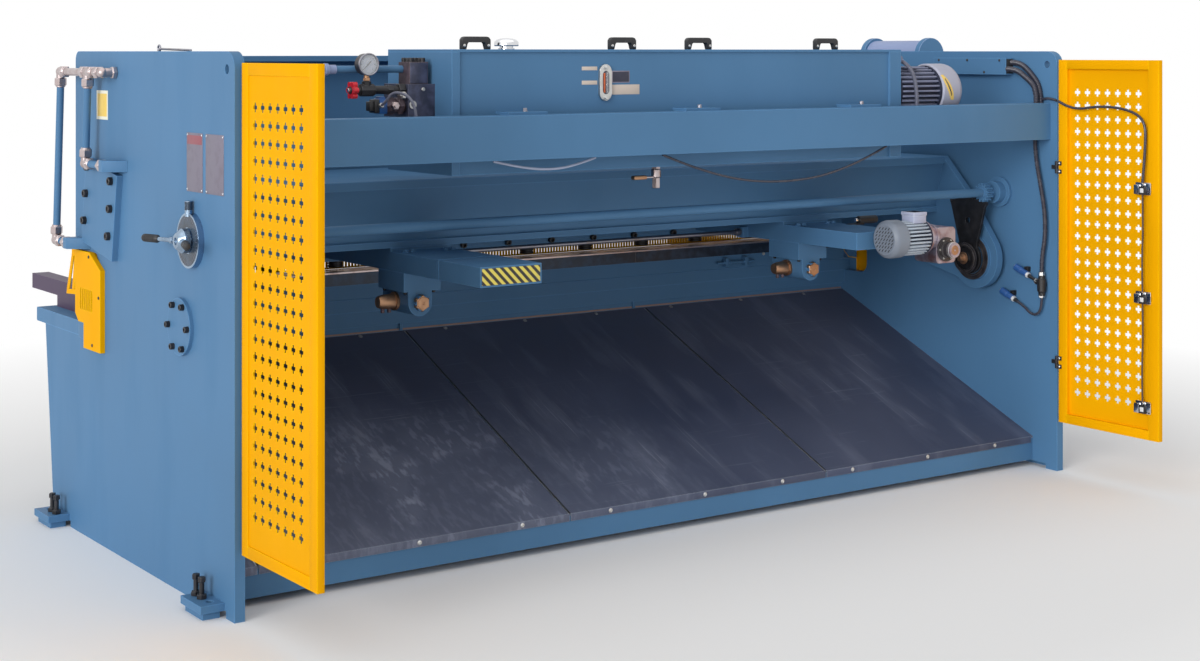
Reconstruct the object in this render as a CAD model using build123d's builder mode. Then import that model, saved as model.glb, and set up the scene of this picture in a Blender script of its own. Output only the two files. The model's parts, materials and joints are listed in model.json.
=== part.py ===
from build123d import *
import math
import os

os.makedirs("parts", exist_ok=True)

# Hydraulic swing-beam guillotine shear, in millimetres.
# X runs along the bed with +X at the operator's right, +Y points to the rear, +Z up from the floor.
# A depth is measured from the rear edge of the side frames towards the operator.

# Side frames
clear_width = 3300.0
frame_plate = 32.0
frame_height = 1580.0
foot_depth = 1470.0
shoulder_depth = 1554.0
head_depth = 1258.0
rear_y = 760.0
throat_depth = 1040.0
throat_top = 930.0
throat_round = 40.0
head_rear_round = 50.0
head_front_round = 30.0
lift_hole_r = 14.0

# Feet
foot_width = 72.0
foot_length = 140.0
foot_plate = 22.0
foot_lift = 20.0
foot_rear_depth = 135.0
foot_front_depth = 1385.0
foot_pad_inset = 10.0
foot_notch_margin = 9.0
anchor_r = 11.0
anchor_out = 30.0
anchor_offset = 35.0

# Bed, lower blade and chip slide
shoulder_z = 648.0
table_plate = 47.0
table_front_depth = 1644.0
table_chamfer = 4.0
knife_block_height = 95.0
knife_block_depth = 125.0
lower_blade_proud = 5.0
lower_blade_height = 48.0
blade_thickness = 22.0
blade_count = 3
blade_length = 1098.0
blade_gap = 0.3
blade_joint = 0.6
apron_plate = 25.0
apron_foot_z = 120.0
apron_front_depth = 1465.0
back_plate = 25.0
back_plate_height = 54.0
slide_sheet = 6.0
slide_seam = 2.0
slide_seams_x = (1556.0, 482.0, -599.0)
slide_lip_height = 34.0
base_beam_depth = 121.0
base_beam_width = 60.0
base_beam_bottom = 24.0
base_beam_height = 82.0
seat_gap = 0.3

# Swing beam and upper blade
pivot_depth = 365.0
pivot_z = 777.0
pivot_pin_r = 45.0
run_clear = 0.1
edge_depth = 1180.0
blade_opening = 43.0
upper_blade_height = 60.0
blade_lean = 6.0
blade_side_gap = 3.0
beam_top = 1163.0
beam_top_flange = 28.0
beam_rear_depth = 522.0
beam_web_top_depth = 535.0
beam_web_foot_depth = 578.0
beam_floor_depth = 568.0
beam_floor_z = 941.0
beam_floor_plate = 21.0
beam_front_depth = 1150.0
knife_plate_back = 52.0
knife_plate_clear = 4.0
knife_plate_side_gap = 10.0
arm_side_gap = 32.0
arm_plate = 30.0
arm_round_r = 120.0
arm_shoulder_depth = 417.0
arm_shoulder_z = 1043.0
arm_heel_depth = 392.0
arm_heel_z = 680.0
arm_toe_z = 851.0
arm_ring_r = 87.0
arm_ring_plate = 14.0
pocket_depth = 880.0
pocket_width = 178.0
push_block_length = 80.0
push_block_height = 13.0

# Main cylinders
cylinder_depth = 992.0
cylinder_z = 1078.5
cylinder_tilt = 9.2
cylinder_inset = 96.0
cylinder_r = 65.0
cylinder_up = 118.0
cylinder_down = 80.0
cylinder_flange_width = 140.0
plunger_r = 32.0
plunger_dome_r = 60.0
plunger_gap = 0.6
plate_size = 274.0
plate_thickness = 20.0

# Eccentric blade-gap drive
gap_tube_depth = 285.0
gap_tube_z = 1035.0
gap_tube_r = 16.5
gear_module = 5.0
pinion_teeth = 13
sector_plate = 12.0
sector_inset = 24.0
sector_top_half_width = 99.0
sector_neck_half_width = 45.0
sector_neck_rise = 56.0
sector_hub_r = 62.0
sector_first_tooth = -2
sector_last_tooth = 10
tooth_addendum = 4.0
tooth_dedendum = 5.2
tooth_play = 0.9
pressure_angle = 20.0
pinion_width = 30.0
bearing_r = 42.0
bearing_flange_r = 58.0
bearing_length = 48.0
bearing_flange = 14.0
dial_r = 80.0
dial_thickness = 18.0
lock_knob_r = 11.0
lock_knob_inset = 4.0
lock_knob_height = 34.0
hub_r = 36.0
hub_length = 36.0
hub_cone_r = 22.0
hub_cone_length = 14.0
lever_r = 7.0
lever_length = 76.0
lever_turns = (180.0, 0.0)
lever_lean = 17.0
grip_r = 12.0
grip_length = 72.0
cover_r = 84.0
cover_plate = 12.0

# Hold-down beam
front_beam_clear = 20.0
front_beam_plate = 55.0
front_beam_bottom = 960.0
front_beam_drop = 16.0
front_beam_flange = 19.0
front_beam_flange_reach = 90.0
pad_count = 12
pad_pitch = 273.0
pad_first_x = -1466.0
pad_reach = 25.0
pad_r = 27.0
pad_height = 20.0
pad_gap = 8.0
pad_stem_r = 18.0
pad_stem_height = 70.0
pad_cap_clear = 12.0
holder_width = 84.0
holder_height = 180.0
guard_clear = 4.0
guard_sheet = 4.0
guard_bottom_clear = 7.0
guard_top = 1040.0
guard_slot_pitch = 41.0
guard_slot_width = 24.0
guard_slot_height = 52.0
guard_slot_sill = 14.0
guard_slot_count = 79

# Rear channel, oil tank and hydraulics
channel_depth = 32.0
channel_reach = 79.0
channel_bottom = 1247.0
channel_height = 137.0
channel_web = 10.0
tank_right_x = 913.0
tank_length = 1877.0
tank_depth = 125.0
tank_width = 403.0
tank_bottom = 1200.0
tank_height = 378.0
tank_flange_right = 28.0
tank_flange_left = 55.0
tank_flange_proud = 8.0
lid_plate = 8.0
handle_x = (785.0, 222.0, -95.0, -668.0)
handle_depth = 200.0
handle_span = 104.0
handle_height = 40.0
handle_bar = 16.0
handle_width = 20.0
handle_round = 8.0
breather_x = 670.0
breather_r = 39.0
breather_height = 26.0
breather_neck_r = 22.0
breather_neck = 10.0
sight_x = 340.0
sight_width = 47.0
sight_z = 1420.0
sight_height = 119.0
sight_plate = 14.0
sight_round = 11.75
tank_foot_x = (679.0, -8.0, -733.0)
tank_foot_length = 145.0
tank_foot_plate = 9.0
tank_foot_start = 60.0
manifold_width = 94.0
manifold_depth = 228.0
manifold_length = 154.0
manifold_z = 1377.0
manifold_height = 102.0
valve_width = 65.0
valve_length = 68.0
valve_height = 68.0
valve_inset_x = 18.0
valve_inset_depth = 12.0
return_pipe_r = 11.5
return_pipe_depth = 288.0
return_pipe_z = 1525.0
solenoid_depth = 262.0
solenoid_z = 1412.0
solenoid_r = 23.0
solenoid_length = 78.0
coil_width = 44.0
coil_length = 30.0
shutoff_depth = 255.0
shutoff_z = 1462.0
shutoff_r = 13.0
shutoff_length = 168.0
gauge_x = 1136.0
gauge_z = 1540.0
gauge_r = 33.0
gauge_body = 30.0
gauge_stem_r = 7.0
needle_reach = 25.0
needle_width = 3.0
needle_plate = 1.5
needle_angle = 45.0
knob_r = 28.0
knob_width = 16.0
knob_lobes = 6
knob_lobe_r = 8.4
motor_depth = 215.0
motor_z = 1435.0
motor_r = 88.0
motor_length = 210.0
motor_fin_count = 24
motor_fin_height = 10.0
motor_fin_width = 5.0
fan_cover_r = 99.0
fan_cover_length = 118.0
fan_cover_nose_r = 70.0
fan_cover_nose = 35.0
drum_out = 86.0
drum_drop = 18.0
drum_rear_depth = 780.0
drum_length = 350.0
drum_r = 62.0
drum_disc_r = 73.0
drum_disc = 25.0
drum_saddle_width = 60.0

# Outside pipes
pipe_r = 12.0
pipe_standoff = 45.0
pipe_drop = 67.0
pipe_entry_depth = 894.0
pipe_tee_depth = 1020.0
pipe_front_depth = 1271.0
pipe_low_depth = 1315.0
pipe_low_z = 956.0
pipe_low_entry = 1185.0
pipe_mid_depth = 1043.0
pipe_mid_z = 1222.0
pipe_mid_entry = 862.0
fitting_size = 36.0
nut_width = 36.0
nut_length = 26.0
drain_x = -14.0
drain_depth = 330.0
drain_r = 11.0
drain_drop = 87.0
drain_lever = 97.0
drain_lever_width = 14.0
drain_lever_rise = 36.0
drain_lever_plate = 5.0

# Side guards and support arms
side_guard_box = 16.0
side_guard_sheet = 3.0
side_guard_lap = 1.0
side_guard_rear_lap = 50.0
side_guard_corner = 99.0
side_guard_cut = 50.0
side_guard_drop = 30.0
side_guard_front_lap = 40.0
side_guard_toe_lap = 70.0
side_guard_toe_cut = 25.0
side_guard_notch = 40.0
side_guard_table_clear = 4.0
louvre_count = 7
louvre_pitch = 17.0
louvre_width = 8.0
louvre_depth = 1062.0
louvre_z = 741.0
louvre_height = 69.0
support_arm_x = (1592.0, 0.0, -1200.0)
support_arm_reach = (1872.0, 1800.0, 1800.0)
support_arm_width = 60.0
support_arm_height = 52.0
support_arm_drop = 4.0
support_arm_start = 1345.0
support_foot_start = 1420.0
support_foot_length = 190.0

# Cable duct, conduits and stroke switches
duct_start = 218.0
duct_length = 385.0
duct_drop = 90.0
duct_height = 64.0
duct_width = 44.0
conduit_r = 11.0
conduit_high = (11.0, 47.0)
conduit_low = (35.0, 22.0)
conduit_run = 44.0
conduit_bend = 52.0
conduit_drop = 60.0
tube_sides = 10
hose_inset = 22.0
hose_route = ((52.0, 0.0), (157.0, 23.0), (262.0, 47.0), (367.0, 51.0))
hose_end_run = 59.0
loop_run = 40.0
loop_drop = 74.0
loop_start = 20.0
loop_width = 56.0
loop_end_run = 36.0
switch_inset = 22.0
switch_r = 9.0
switch_length = 95.0
switch_cable_r = 9.0
switch_link_r = 6.0
switch_lean = 23.0
switch_spots = ((150.0, 738.0), (222.0, 640.0))
loop_r = 5.0
tee_r = 17.0
tee_depth = 56.0
tee_z = 698.0
tee_height = 86.0
wire_r = 4.0
wire_depth = 72.0
wire_routes = (
    ((150.0, 3.9), (-39.0, 75.0), (-320.0, 118.0), (-636.0, 90.0), (-842.0, 3.9)),
    ((797.0, 3.9), (701.0, 26.0), (590.0, 37.0), (496.0, 27.0), (417.0, 3.9)),
)
motor_lead_r = 8.0
motor_lead_z = 1550.0
motor_lead_start = 150.0
motor_lead_end = 95.0
motor_lead_out = 50.0
motor_lead_bend = 30.0
motor_lead_drop = 60.0
coil_lead_r = 5.0
coil_lead_arch = ((0.0, -36.0, 0.0), (-36.0, -56.0, 50.0), (-70.0, -130.0, 20.0))

# Back gauge
gauge_arm_left_face = 882.0
gauge_unit_pitch = 1668.0
gauge_arm_width = 220.0
gauge_arm_bottom = 868.0
gauge_arm_height = 62.0
gauge_arm_front_depth = 1100.0
gauge_arm_rear_depth = 10.0
gauge_drive_rear_depth = 165.0
gauge_slot_width = 48.0
gauge_slot_offset = 44.0
gauge_slot_end = 50.0
gauge_slot_roof = 14.0
screw_r = 14.0
screw_journal_r = 9.0
screw_rise = 25.0
neck_clear = 2.0
carriage_width = 136.0
carriage_length = 170.0
carriage_rear_depth = 480.0
carriage_height = 62.0
carriage_barrel_r = 43.0
carriage_barrel_drop = 37.0
carriage_barrel_inset = 60.0
hex_width = 47.0
hex_length = 18.0
stub_r = 24.0
stub_length = 66.0
stub_tip_r = 17.0
cross_shaft_r = 8.0
cross_shaft_depth = 795.0
cross_shaft_z = 887.0
cross_bearing = 40.0
cross_bearing_reach = 25.0
cross_collar_r = 14.0
cross_collar = 18.0
gear_motor_depth = 82.0
gear_motor_z = 910.0
gear_motor_r = 62.0
gear_motor_end_x = -1072.0
gear_motor_length = 170.0
gear_motor_box_rise = 93.0
gear_motor_box_width = 62.0
gear_fan_round = 17.0
gear_fan_r = 68.0
gear_fan_length = 62.0
gearbox_width = 96.0
gearbox_length = 110.0
gearbox_height = 130.0
gearbox_z = 812.0
gearbox_round = 16.0
gear_output_r = 27.0
gear_output_length = 46.0
gear_output_z = 862.0
gear_bracket_plate = 16.0

# Rear doors
door_length = 462.0
door_thickness = 22.0
door_sheet = 3.0
door_bottom = 188.0
door_height = 1360.0
door_border = 26.0
door_hinge_border = 24.0
door_end_border = 46.0
door_inset = 6.0
door_gap = 8.0
hinge_r = 6.0
hinge_inset = 8.0
hinge_rise = 4.0
hinge_knuckle = 15.0
hinge_play = 0.5
hinge_leaf = 4.0
hinge_leaf_length = 24.0
hinge_heights = (224.0, 956.0)
hole_pitch_y = 47.0
hole_pitch_z = 48.6
hole_size = 24.0
hole_near_margin = 78.0
hole_far_margin = 90.0
hole_end_margin = 121.0
latch_heights = (115.0, 508.0, 899.0)
latch_height = 44.0
latch_width = 69.0
latch_thickness = 14.0
latch_inset = 32.0
door_cable_r = 5.0
lead_drop = 155.0
lead_start = 4.0
lead_route = ((70.0, -33.0), (201.0, -13.0), (330.0, -22.0))
lead_bend = ((-14.0, -60.0), (-12.0, -170.0))

half_width = clear_width / 2
outer_x = half_width + frame_plate
table_top = shoulder_z + table_plate
block_top = table_top + knife_block_height
work_z = block_top + lower_blade_proud
edge_z = work_z + blade_opening
SIDES = (("right", 1), ("left", -1))


def y_at(depth):
    """Y of a depth measured from the rear edge of the side frames."""
    return rear_y - depth


def outline(points, x_from, x_to, mode=Mode.ADD):
    """Extrude a side outline of (depth, height) points between two X planes."""
    with BuildSketch(Plane.YZ.offset(x_from)) as face:
        with BuildLine():
            Polyline(*[(y_at(depth), height) for depth, height in points], close=True)
        make_face()
    extrude(face.sketch, amount=x_to - x_from, mode=mode)


def block(x_span, depth_span, z_span, mode=Mode.ADD):
    """Extrude a rectangle that spans X and depth up through a span of Z."""
    with BuildSketch(Plane.XY.offset(z_span[0])) as face:
        with Locations((sum(x_span) / 2, y_at(sum(depth_span) / 2))):
            Rectangle(abs(x_span[1] - x_span[0]), abs(depth_span[1] - depth_span[0]))
    extrude(face.sketch, amount=z_span[1] - z_span[0], mode=mode)


def rod_x(depth, z, radius, x_from, x_to, mode=Mode.ADD):
    """Round bar along X."""
    with BuildSketch(Plane.YZ.offset(x_from)) as face:
        with Locations((y_at(depth), z)):
            Circle(radius)
    extrude(face.sketch, amount=x_to - x_from, mode=mode)


def rod_y(x, z, radius, depth_from, depth_to, mode=Mode.ADD):
    """Round bar along Y, between two depths."""
    with BuildSketch(Plane.XZ.offset(-y_at(depth_from))) as face:
        with Locations((x, z)):
            Circle(radius)
    extrude(face.sketch, amount=depth_to - depth_from, mode=mode)


def rod_z(x, depth, radius, z_from, z_to, mode=Mode.ADD):
    """Round bar along Z."""
    with BuildSketch(Plane.XY.offset(z_from)) as face:
        with Locations((x, y_at(depth))):
            Circle(radius)
    extrude(face.sketch, amount=z_to - z_from, mode=mode)


def tube(points, radius):
    """Round tube along a route of (x, depth, z) points, bent as widely as its runs allow."""
    spots = [Vector(x, y_at(depth), z) for x, depth, z in points]
    radii = []
    for before, here, after in zip(spots, spots[1:], spots[2:]):
        turn = math.radians((here - before).get_angle(after - here))
        shorter = min((here - before).length, (after - here).length)
        radii.append(0.45 * shorter / math.tan(turn / 2))
    with BuildLine() as route:
        FilletPolyline(*spots, radius=radii)
    path = route.wires()[0]
    with BuildSketch(Plane(origin=path @ 0, z_dir=path % 0)) as section:
        RegularPolygon(radius, tube_sides)
    solid = sweep(section.sketch, path=path)
    wanted = section.sketch.area * path.length
    print("tube radii", [round(r) for r in radii], "volume share", round(solid.volume / wanted, 4))


def save(piece, name):
    """Label a finished piece and write its STEP file."""
    piece.part.label = name
    export_step(piece.part, f"parts/{name}.step")


# Side frames with throat, lifting eye, pivot bore and foot notches
pivot_bore_r = pivot_pin_r + run_clear
foot_reach = foot_length / 2 + foot_notch_margin
for side, sign in SIDES:
    with BuildPart() as side_frame:
        with BuildSketch(Plane.YZ.offset(sign * half_width)) as face:
            with BuildLine():
                Polyline(
                    (y_at(0), 0),
                    (y_at(foot_depth), 0),
                    (y_at(shoulder_depth), shoulder_z),
                    (y_at(throat_depth), shoulder_z),
                    (y_at(throat_depth), throat_top),
                    (y_at(head_depth), throat_top),
                    (y_at(head_depth), frame_height),
                    (y_at(0), frame_height),
                    close=True,
                )
            make_face()
            throat = face.vertices().filter_by_position(
                Axis.X, y_at(throat_depth) - 1, y_at(throat_depth) + 1
            )
            fillet(throat, throat_round)
            head = face.vertices().group_by(Axis.Y)[-1].sort_by(Axis.X)
            fillet(head[-1], head_rear_round)
            head = face.vertices().group_by(Axis.Y)[-1].sort_by(Axis.X)
            fillet(head[0], head_front_round)
            with Locations((y_at(head_rear_round), frame_height - head_rear_round)):
                Circle(lift_hole_r, mode=Mode.SUBTRACT)
            with Locations((y_at(pivot_depth), pivot_z)):
                Circle(pivot_bore_r, mode=Mode.SUBTRACT)
            if sign > 0:
                with Locations((y_at(gap_tube_depth), gap_tube_z)):
                    Circle(gap_tube_r + seat_gap, mode=Mode.SUBTRACT)
            for depth in (foot_rear_depth, foot_front_depth):
                with Locations((y_at(depth), foot_lift / 2)):
                    Rectangle(2 * foot_reach, foot_lift, mode=Mode.SUBTRACT)
        extrude(amount=sign * frame_plate)
    save(side_frame, f"side_frame_{side}")

# Foot plates on pads, one free anchor hole each
with BuildPart() as foot_plates:
    for side, sign in SIDES:
        for depth, way in ((foot_rear_depth, -1), (foot_front_depth, 1)):
            span = (depth - foot_length / 2, depth + foot_length / 2)
            pad = (span[0] + foot_pad_inset, span[1] - foot_pad_inset)
            x_span = (sign * outer_x, sign * (outer_x + foot_width))
            pad_x = (sign * (outer_x + foot_pad_inset), sign * (outer_x + foot_width - foot_pad_inset))
            block(x_span, span, (foot_lift, foot_lift + foot_plate))
            block(pad_x, pad, (0, foot_lift))
            rod_z(
                sign * (outer_x + anchor_out),
                depth + way * anchor_offset,
                anchor_r,
                0,
                foot_lift + foot_plate,
                Mode.SUBTRACT,
            )
save(foot_plates, "foot_plates")

# Bed table on the frame shoulders
with BuildPart() as table:
    block(
        (-outer_x, outer_x),
        (edge_depth, table_front_depth),
        (shoulder_z, table_top),
    )
    front_edges = table.edges().filter_by(Axis.X).group_by(Axis.Y)[0]
    chamfer(front_edges, table_chamfer)
save(table, "table_plate")

# Lower blade and the block that carries it; the blade clears the arc of the upper edge
blade_reach = math.hypot(edge_depth - pivot_depth, edge_z - pivot_z)
lower_rear = pivot_depth + blade_reach + blade_gap
lower_front = lower_rear + blade_thickness
blade_seat_z = work_z - lower_blade_height
blade_half = blade_count * blade_length / 2
with BuildPart() as knife_block:
    outline(
        [
            (lower_rear, table_top),
            (lower_rear, blade_seat_z),
            (lower_front, blade_seat_z),
            (lower_front, block_top),
            (lower_front + knife_block_depth, block_top),
            (lower_front + knife_block_depth, table_top),
        ],
        -blade_half,
        blade_half,
    )
save(knife_block, "knife_block")

with BuildPart() as lower_blade:
    for index in range(blade_count):
        start = -blade_half + index * blade_length
        block((start, start + blade_length - blade_joint), (lower_rear, lower_front), (blade_seat_z, work_z))
save(lower_blade, "lower_blade")

# Front apron and the plate behind the bed that the chip slide hangs from
with BuildPart() as apron:
    block(
        (-half_width, half_width),
        (apron_front_depth - apron_plate, apron_front_depth),
        (apron_foot_z, shoulder_z),
    )
save(apron, "front_apron")

back_front = edge_depth + back_plate
with BuildPart() as bed_back:
    block(
        (-half_width, half_width),
        (edge_depth, back_front),
        (shoulder_z - back_plate_height, shoulder_z),
    )
    block(
        (-half_width, half_width),
        (back_front - back_plate / 2, back_front),
        (shoulder_z - back_plate_height - slide_lip_height, shoulder_z - back_plate_height),
    )
save(bed_back, "bed_back_plate")

# Base beam and the four panels of the chip slide that rests on it
base_top = base_beam_bottom + base_beam_height
with BuildPart() as base_beam:
    block(
        (-half_width, half_width),
        (base_beam_depth, base_beam_depth + base_beam_width),
        (base_beam_bottom, base_top),
    )
save(base_beam, "base_beam")

slide_top_face = back_front - back_plate / 2
slide_end_z = shoulder_z - back_plate_height - slide_lip_height
slide_rise = math.atan2(slide_end_z - base_top, slide_top_face - base_beam_depth)
slide_up = slide_sheet / math.cos(slide_rise)
with BuildPart() as chip_slide:
    edges_x = (half_width - seat_gap, *slide_seams_x, -half_width + seat_gap)
    for x_start, x_end in zip(edges_x, edges_x[1:]):
        first = x_start == edges_x[0]
        last = x_end == edges_x[-1]
        outline(
            [
                (base_beam_depth, base_top),
                (base_beam_depth, base_top + slide_up),
                (slide_top_face, slide_end_z + slide_up),
                (slide_top_face, slide_end_z),
            ],
            x_start - (0 if first else slide_seam / 2),
            x_end + (0 if last else slide_seam / 2),
        )
save(chip_slide, "chip_slide")

# Rear channel between the frames
channel_top = channel_bottom + channel_height
channel_front = channel_depth + channel_reach
with BuildPart() as channel:
    outline(
        [
            (channel_depth, channel_bottom),
            (channel_front, channel_bottom),
            (channel_front, channel_bottom + channel_web),
            (channel_depth + channel_web, channel_bottom + channel_web),
            (channel_depth + channel_web, channel_top - channel_web),
            (channel_front, channel_top - channel_web),
            (channel_front, channel_top),
            (channel_depth, channel_top),
        ],
        -half_width,
        half_width,
    )
save(channel, "rear_channel")

# Hold-down beam across the front
front_beam_rear_depth = edge_depth + front_beam_clear
front_beam_front = front_beam_rear_depth + front_beam_plate
front_beam_top = frame_height - front_beam_drop
with BuildPart() as front_beam:
    outline(
        [
            (front_beam_rear_depth, front_beam_bottom),
            (front_beam_front, front_beam_bottom),
            (front_beam_front, front_beam_top),
            (front_beam_rear_depth - front_beam_flange_reach, front_beam_top),
            (front_beam_rear_depth - front_beam_flange_reach, front_beam_top - front_beam_flange),
            (front_beam_rear_depth, front_beam_top - front_beam_flange),
        ],
        -half_width,
        half_width,
    )
save(front_beam, "front_beam")

# Hold-down cylinders on the front beam, and the pads that ride in them
pad_x = [pad_first_x + index * pad_pitch for index in range(pad_count)]
pad_depth = front_beam_front + pad_reach
pad_bottom = work_z + pad_gap
stem_bottom = pad_bottom + pad_height
stem_top = stem_bottom + pad_stem_height
holder_bottom = stem_bottom + pad_cap_clear
holder_front = pad_depth + holder_width / 2
with BuildPart() as holders:
    for x in pad_x:
        block(
            (x - holder_width / 2, x + holder_width / 2),
            (front_beam_front, pad_depth),
            (holder_bottom, holder_bottom + holder_height),
        )
        rod_z(x, pad_depth, holder_width / 2, holder_bottom, holder_bottom + holder_height)
        block(
            (x - holder_width / 2, x + holder_width / 2),
            (front_beam_rear_depth, front_beam_front),
            (holder_bottom, holder_bottom + holder_height),
            Mode.SUBTRACT,
        )
        rod_z(x, pad_depth, pad_stem_r + run_clear, holder_bottom, stem_top + pad_cap_clear, Mode.SUBTRACT)
save(holders, "hold_down_cylinders")

with BuildPart() as pads:
    for x in pad_x:
        rod_z(x, pad_depth, pad_r, pad_bottom, stem_bottom)
        rod_z(x, pad_depth, pad_stem_r, stem_bottom, stem_top)
save(pads, "hold_down_pads")

# Slotted finger guard hung from the front beam
guard_bottom = work_z + guard_bottom_clear
guard_rear = holder_front + guard_clear
guard_depth = guard_rear + guard_sheet
slot_low = guard_bottom + guard_slot_sill
with BuildPart() as finger_guard:
    outline(
        [
            (guard_depth, guard_bottom),
            (guard_depth, guard_top),
            (front_beam_front, guard_top),
            (front_beam_front, guard_top - guard_sheet),
            (guard_rear, guard_top - guard_sheet),
            (guard_rear, guard_bottom),
        ],
        -half_width,
        half_width,
    )
    with BuildSketch(Plane.XZ.offset(-y_at(guard_rear))) as slots:
        with Locations((0, slot_low + guard_slot_height / 2)):
            with GridLocations(guard_slot_pitch, guard_slot_pitch, guard_slot_count, 1):
                Rectangle(guard_slot_width, guard_slot_height)
    extrude(slots.sketch, amount=guard_sheet, mode=Mode.SUBTRACT)
save(finger_guard, "finger_guard")

# Swing beam: one closed welded box with lips, a knife plate below it and end pockets
arm_outer = half_width - arm_side_gap
arm_inner = arm_outer - arm_plate
knife_half = half_width - knife_plate_side_gap
lean = math.tan(math.radians(blade_lean))
blade_top_z = edge_z + upper_blade_height
blade_top_front = edge_depth - upper_blade_height * lean
seat_z = edge_z + knife_plate_clear
seat_depth = edge_depth - knife_plate_clear * lean - blade_thickness
blade_top_back = blade_top_front - blade_thickness
knife_rear = edge_depth - knife_plate_back
beam_floor_top = beam_floor_z + beam_floor_plate
knife_outline = [
    (knife_rear, seat_z),
    (seat_depth, seat_z),
    (blade_top_back, blade_top_z),
    (blade_top_front, blade_top_z),
    (blade_top_front, beam_floor_z),
    (knife_rear, beam_floor_z),
]
push_depth = cylinder_depth + (cylinder_z - beam_floor_top) * math.tan(math.radians(cylinder_tilt))
cylinder_x = half_width - cylinder_inset
push_top = beam_floor_top + push_block_height
with BuildPart() as swing_beam:
    outline(
        [
            (beam_rear_depth, beam_top),
            (beam_front_depth, beam_top),
            (blade_top_front, beam_floor_z),
            (beam_floor_depth, beam_floor_z),
            (beam_floor_depth, beam_floor_top),
            (beam_web_foot_depth, beam_floor_top),
            (beam_web_top_depth, beam_top - beam_top_flange),
            (beam_rear_depth, beam_top - beam_top_flange),
        ],
        -arm_inner,
        arm_inner,
    )
    for side, sign in SIDES:
        block(
            (sign * (half_width - pocket_width - arm_side_gap), sign * arm_inner),
            (pocket_depth, knife_rear),
            (beam_floor_top, beam_top),
            Mode.SUBTRACT,
        )
        block(
            (sign * (2 * cylinder_x - arm_inner), sign * arm_inner),
            (push_depth - push_block_length / 2, push_depth + push_block_length / 2),
            (beam_floor_top, push_top),
        )
    outline(knife_outline, -knife_half, knife_half)
save(swing_beam, "swing_beam")

# Beam arms: end plates with a round pivot eye and a bush ring on the inner face
eye = (pivot_depth, pivot_z)
rise = math.atan2(arm_shoulder_z - pivot_z, arm_shoulder_depth - pivot_depth)
away = math.hypot(arm_shoulder_z - pivot_z, arm_shoulder_depth - pivot_depth)
touch = rise + math.acos(arm_round_r / away)
touch_point = (pivot_depth + arm_round_r * math.cos(touch), pivot_z + arm_round_r * math.sin(touch))
arm_top_depth = arm_shoulder_depth + beam_top - arm_shoulder_z
with BuildPart() as arms:
    for side, sign in SIDES:
        outline(
            [
                eye,
                (arm_heel_depth, arm_heel_z),
                (knife_rear, arm_toe_z),
                (knife_rear, beam_floor_top),
                (pocket_depth, beam_floor_top),
                (pocket_depth, beam_top),
                (arm_top_depth, beam_top),
                (arm_shoulder_depth, arm_shoulder_z),
                touch_point,
            ],
            sign * arm_inner,
            sign * arm_outer,
        )
        rod_x(*eye, arm_round_r, sign * arm_inner, sign * arm_outer)
        rod_x(*eye, arm_ring_r, sign * (arm_inner - arm_ring_plate), sign * arm_inner)
        rod_x(
            *eye, pivot_bore_r, sign * (arm_inner - arm_ring_plate), sign * arm_outer, Mode.SUBTRACT
        )
save(arms, "beam_arms")

# Upper blade in three lengths against the knife plate
with BuildPart() as upper_blade:
    for index in range(blade_count):
        start = -blade_half + index * blade_length
        outline(
            [
                (edge_depth - blade_thickness, edge_z),
                (edge_depth, edge_z),
                (blade_top_front, blade_top_z),
                (blade_top_back, blade_top_z),
            ],
            start,
            start + blade_length - blade_joint,
        )
save(upper_blade, "upper_blade")

# Main cylinders, tilted square to their arm about the pivot, and their plungers
tilt = math.radians(cylinder_tilt)
axis_down = (0, -math.sin(tilt), -math.cos(tilt))


def on_cylinder(x, along):
    """Plane across a main cylinder's axis, a distance down from the middle of its barrel."""
    return Plane(
        origin=(x, y_at(cylinder_depth) + along * axis_down[1], cylinder_z + along * axis_down[2]),
        x_dir=(1, 0, 0),
        z_dir=axis_down,
    )


with BuildPart() as cylinders:
    for side, sign in SIDES:
        with BuildSketch(on_cylinder(sign * cylinder_x, -cylinder_up)) as face:
            Circle(cylinder_r)
            with Locations((sign * cylinder_inset / 2, 0)):
                Rectangle(cylinder_inset, cylinder_flange_width)
        extrude(face.sketch, amount=cylinder_up + cylinder_down)
        with BuildSketch(on_cylinder(sign * cylinder_x, 0)) as face:
            Circle(plunger_r + run_clear)
        extrude(face.sketch, amount=cylinder_down, mode=Mode.SUBTRACT)
save(cylinders, "main_cylinders")

push_along = (cylinder_z - push_top) / math.cos(tilt)
dome_middle = push_along - (plunger_dome_r + plunger_gap) / math.cos(tilt)
dome_rise = math.sqrt(plunger_dome_r**2 - plunger_r**2)
with BuildPart() as plungers:
    for side, sign in SIDES:
        root = on_cylinder(sign * cylinder_x, 0).origin
        lengthwise = Plane(root, x_dir=(1, 0, 0), z_dir=(0, -axis_down[2], axis_down[1]))
        with BuildSketch(lengthwise) as profile:
            with BuildLine():
                Polyline(
                    (0, dome_middle + plunger_dome_r),
                    (0, seat_gap),
                    (plunger_r, seat_gap),
                    (plunger_r, dome_middle + dome_rise),
                )
                CenterArc(
                    (0, dome_middle),
                    plunger_dome_r,
                    math.degrees(math.asin(dome_rise / plunger_dome_r)),
                    90 - math.degrees(math.asin(dome_rise / plunger_dome_r)),
                )
            make_face()
        revolve(profile.sketch, axis=Axis(root, axis_down))
save(plungers, "plungers")

# Outside plates that the cylinders bolt through, and the pivot covers
with BuildPart() as cover_plates:
    for side, sign in SIDES:
        with BuildSketch(Plane.YZ.offset(sign * outer_x)) as face:
            with Locations((y_at(cylinder_depth), cylinder_z)):
                Rectangle(plate_size, plate_size, rotation=-cylinder_tilt)
        extrude(face.sketch, amount=sign * plate_thickness)
        rod_x(*eye, cover_r, sign * outer_x, sign * (outer_x + cover_plate))
save(cover_plates, "side_cover_plates")

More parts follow.
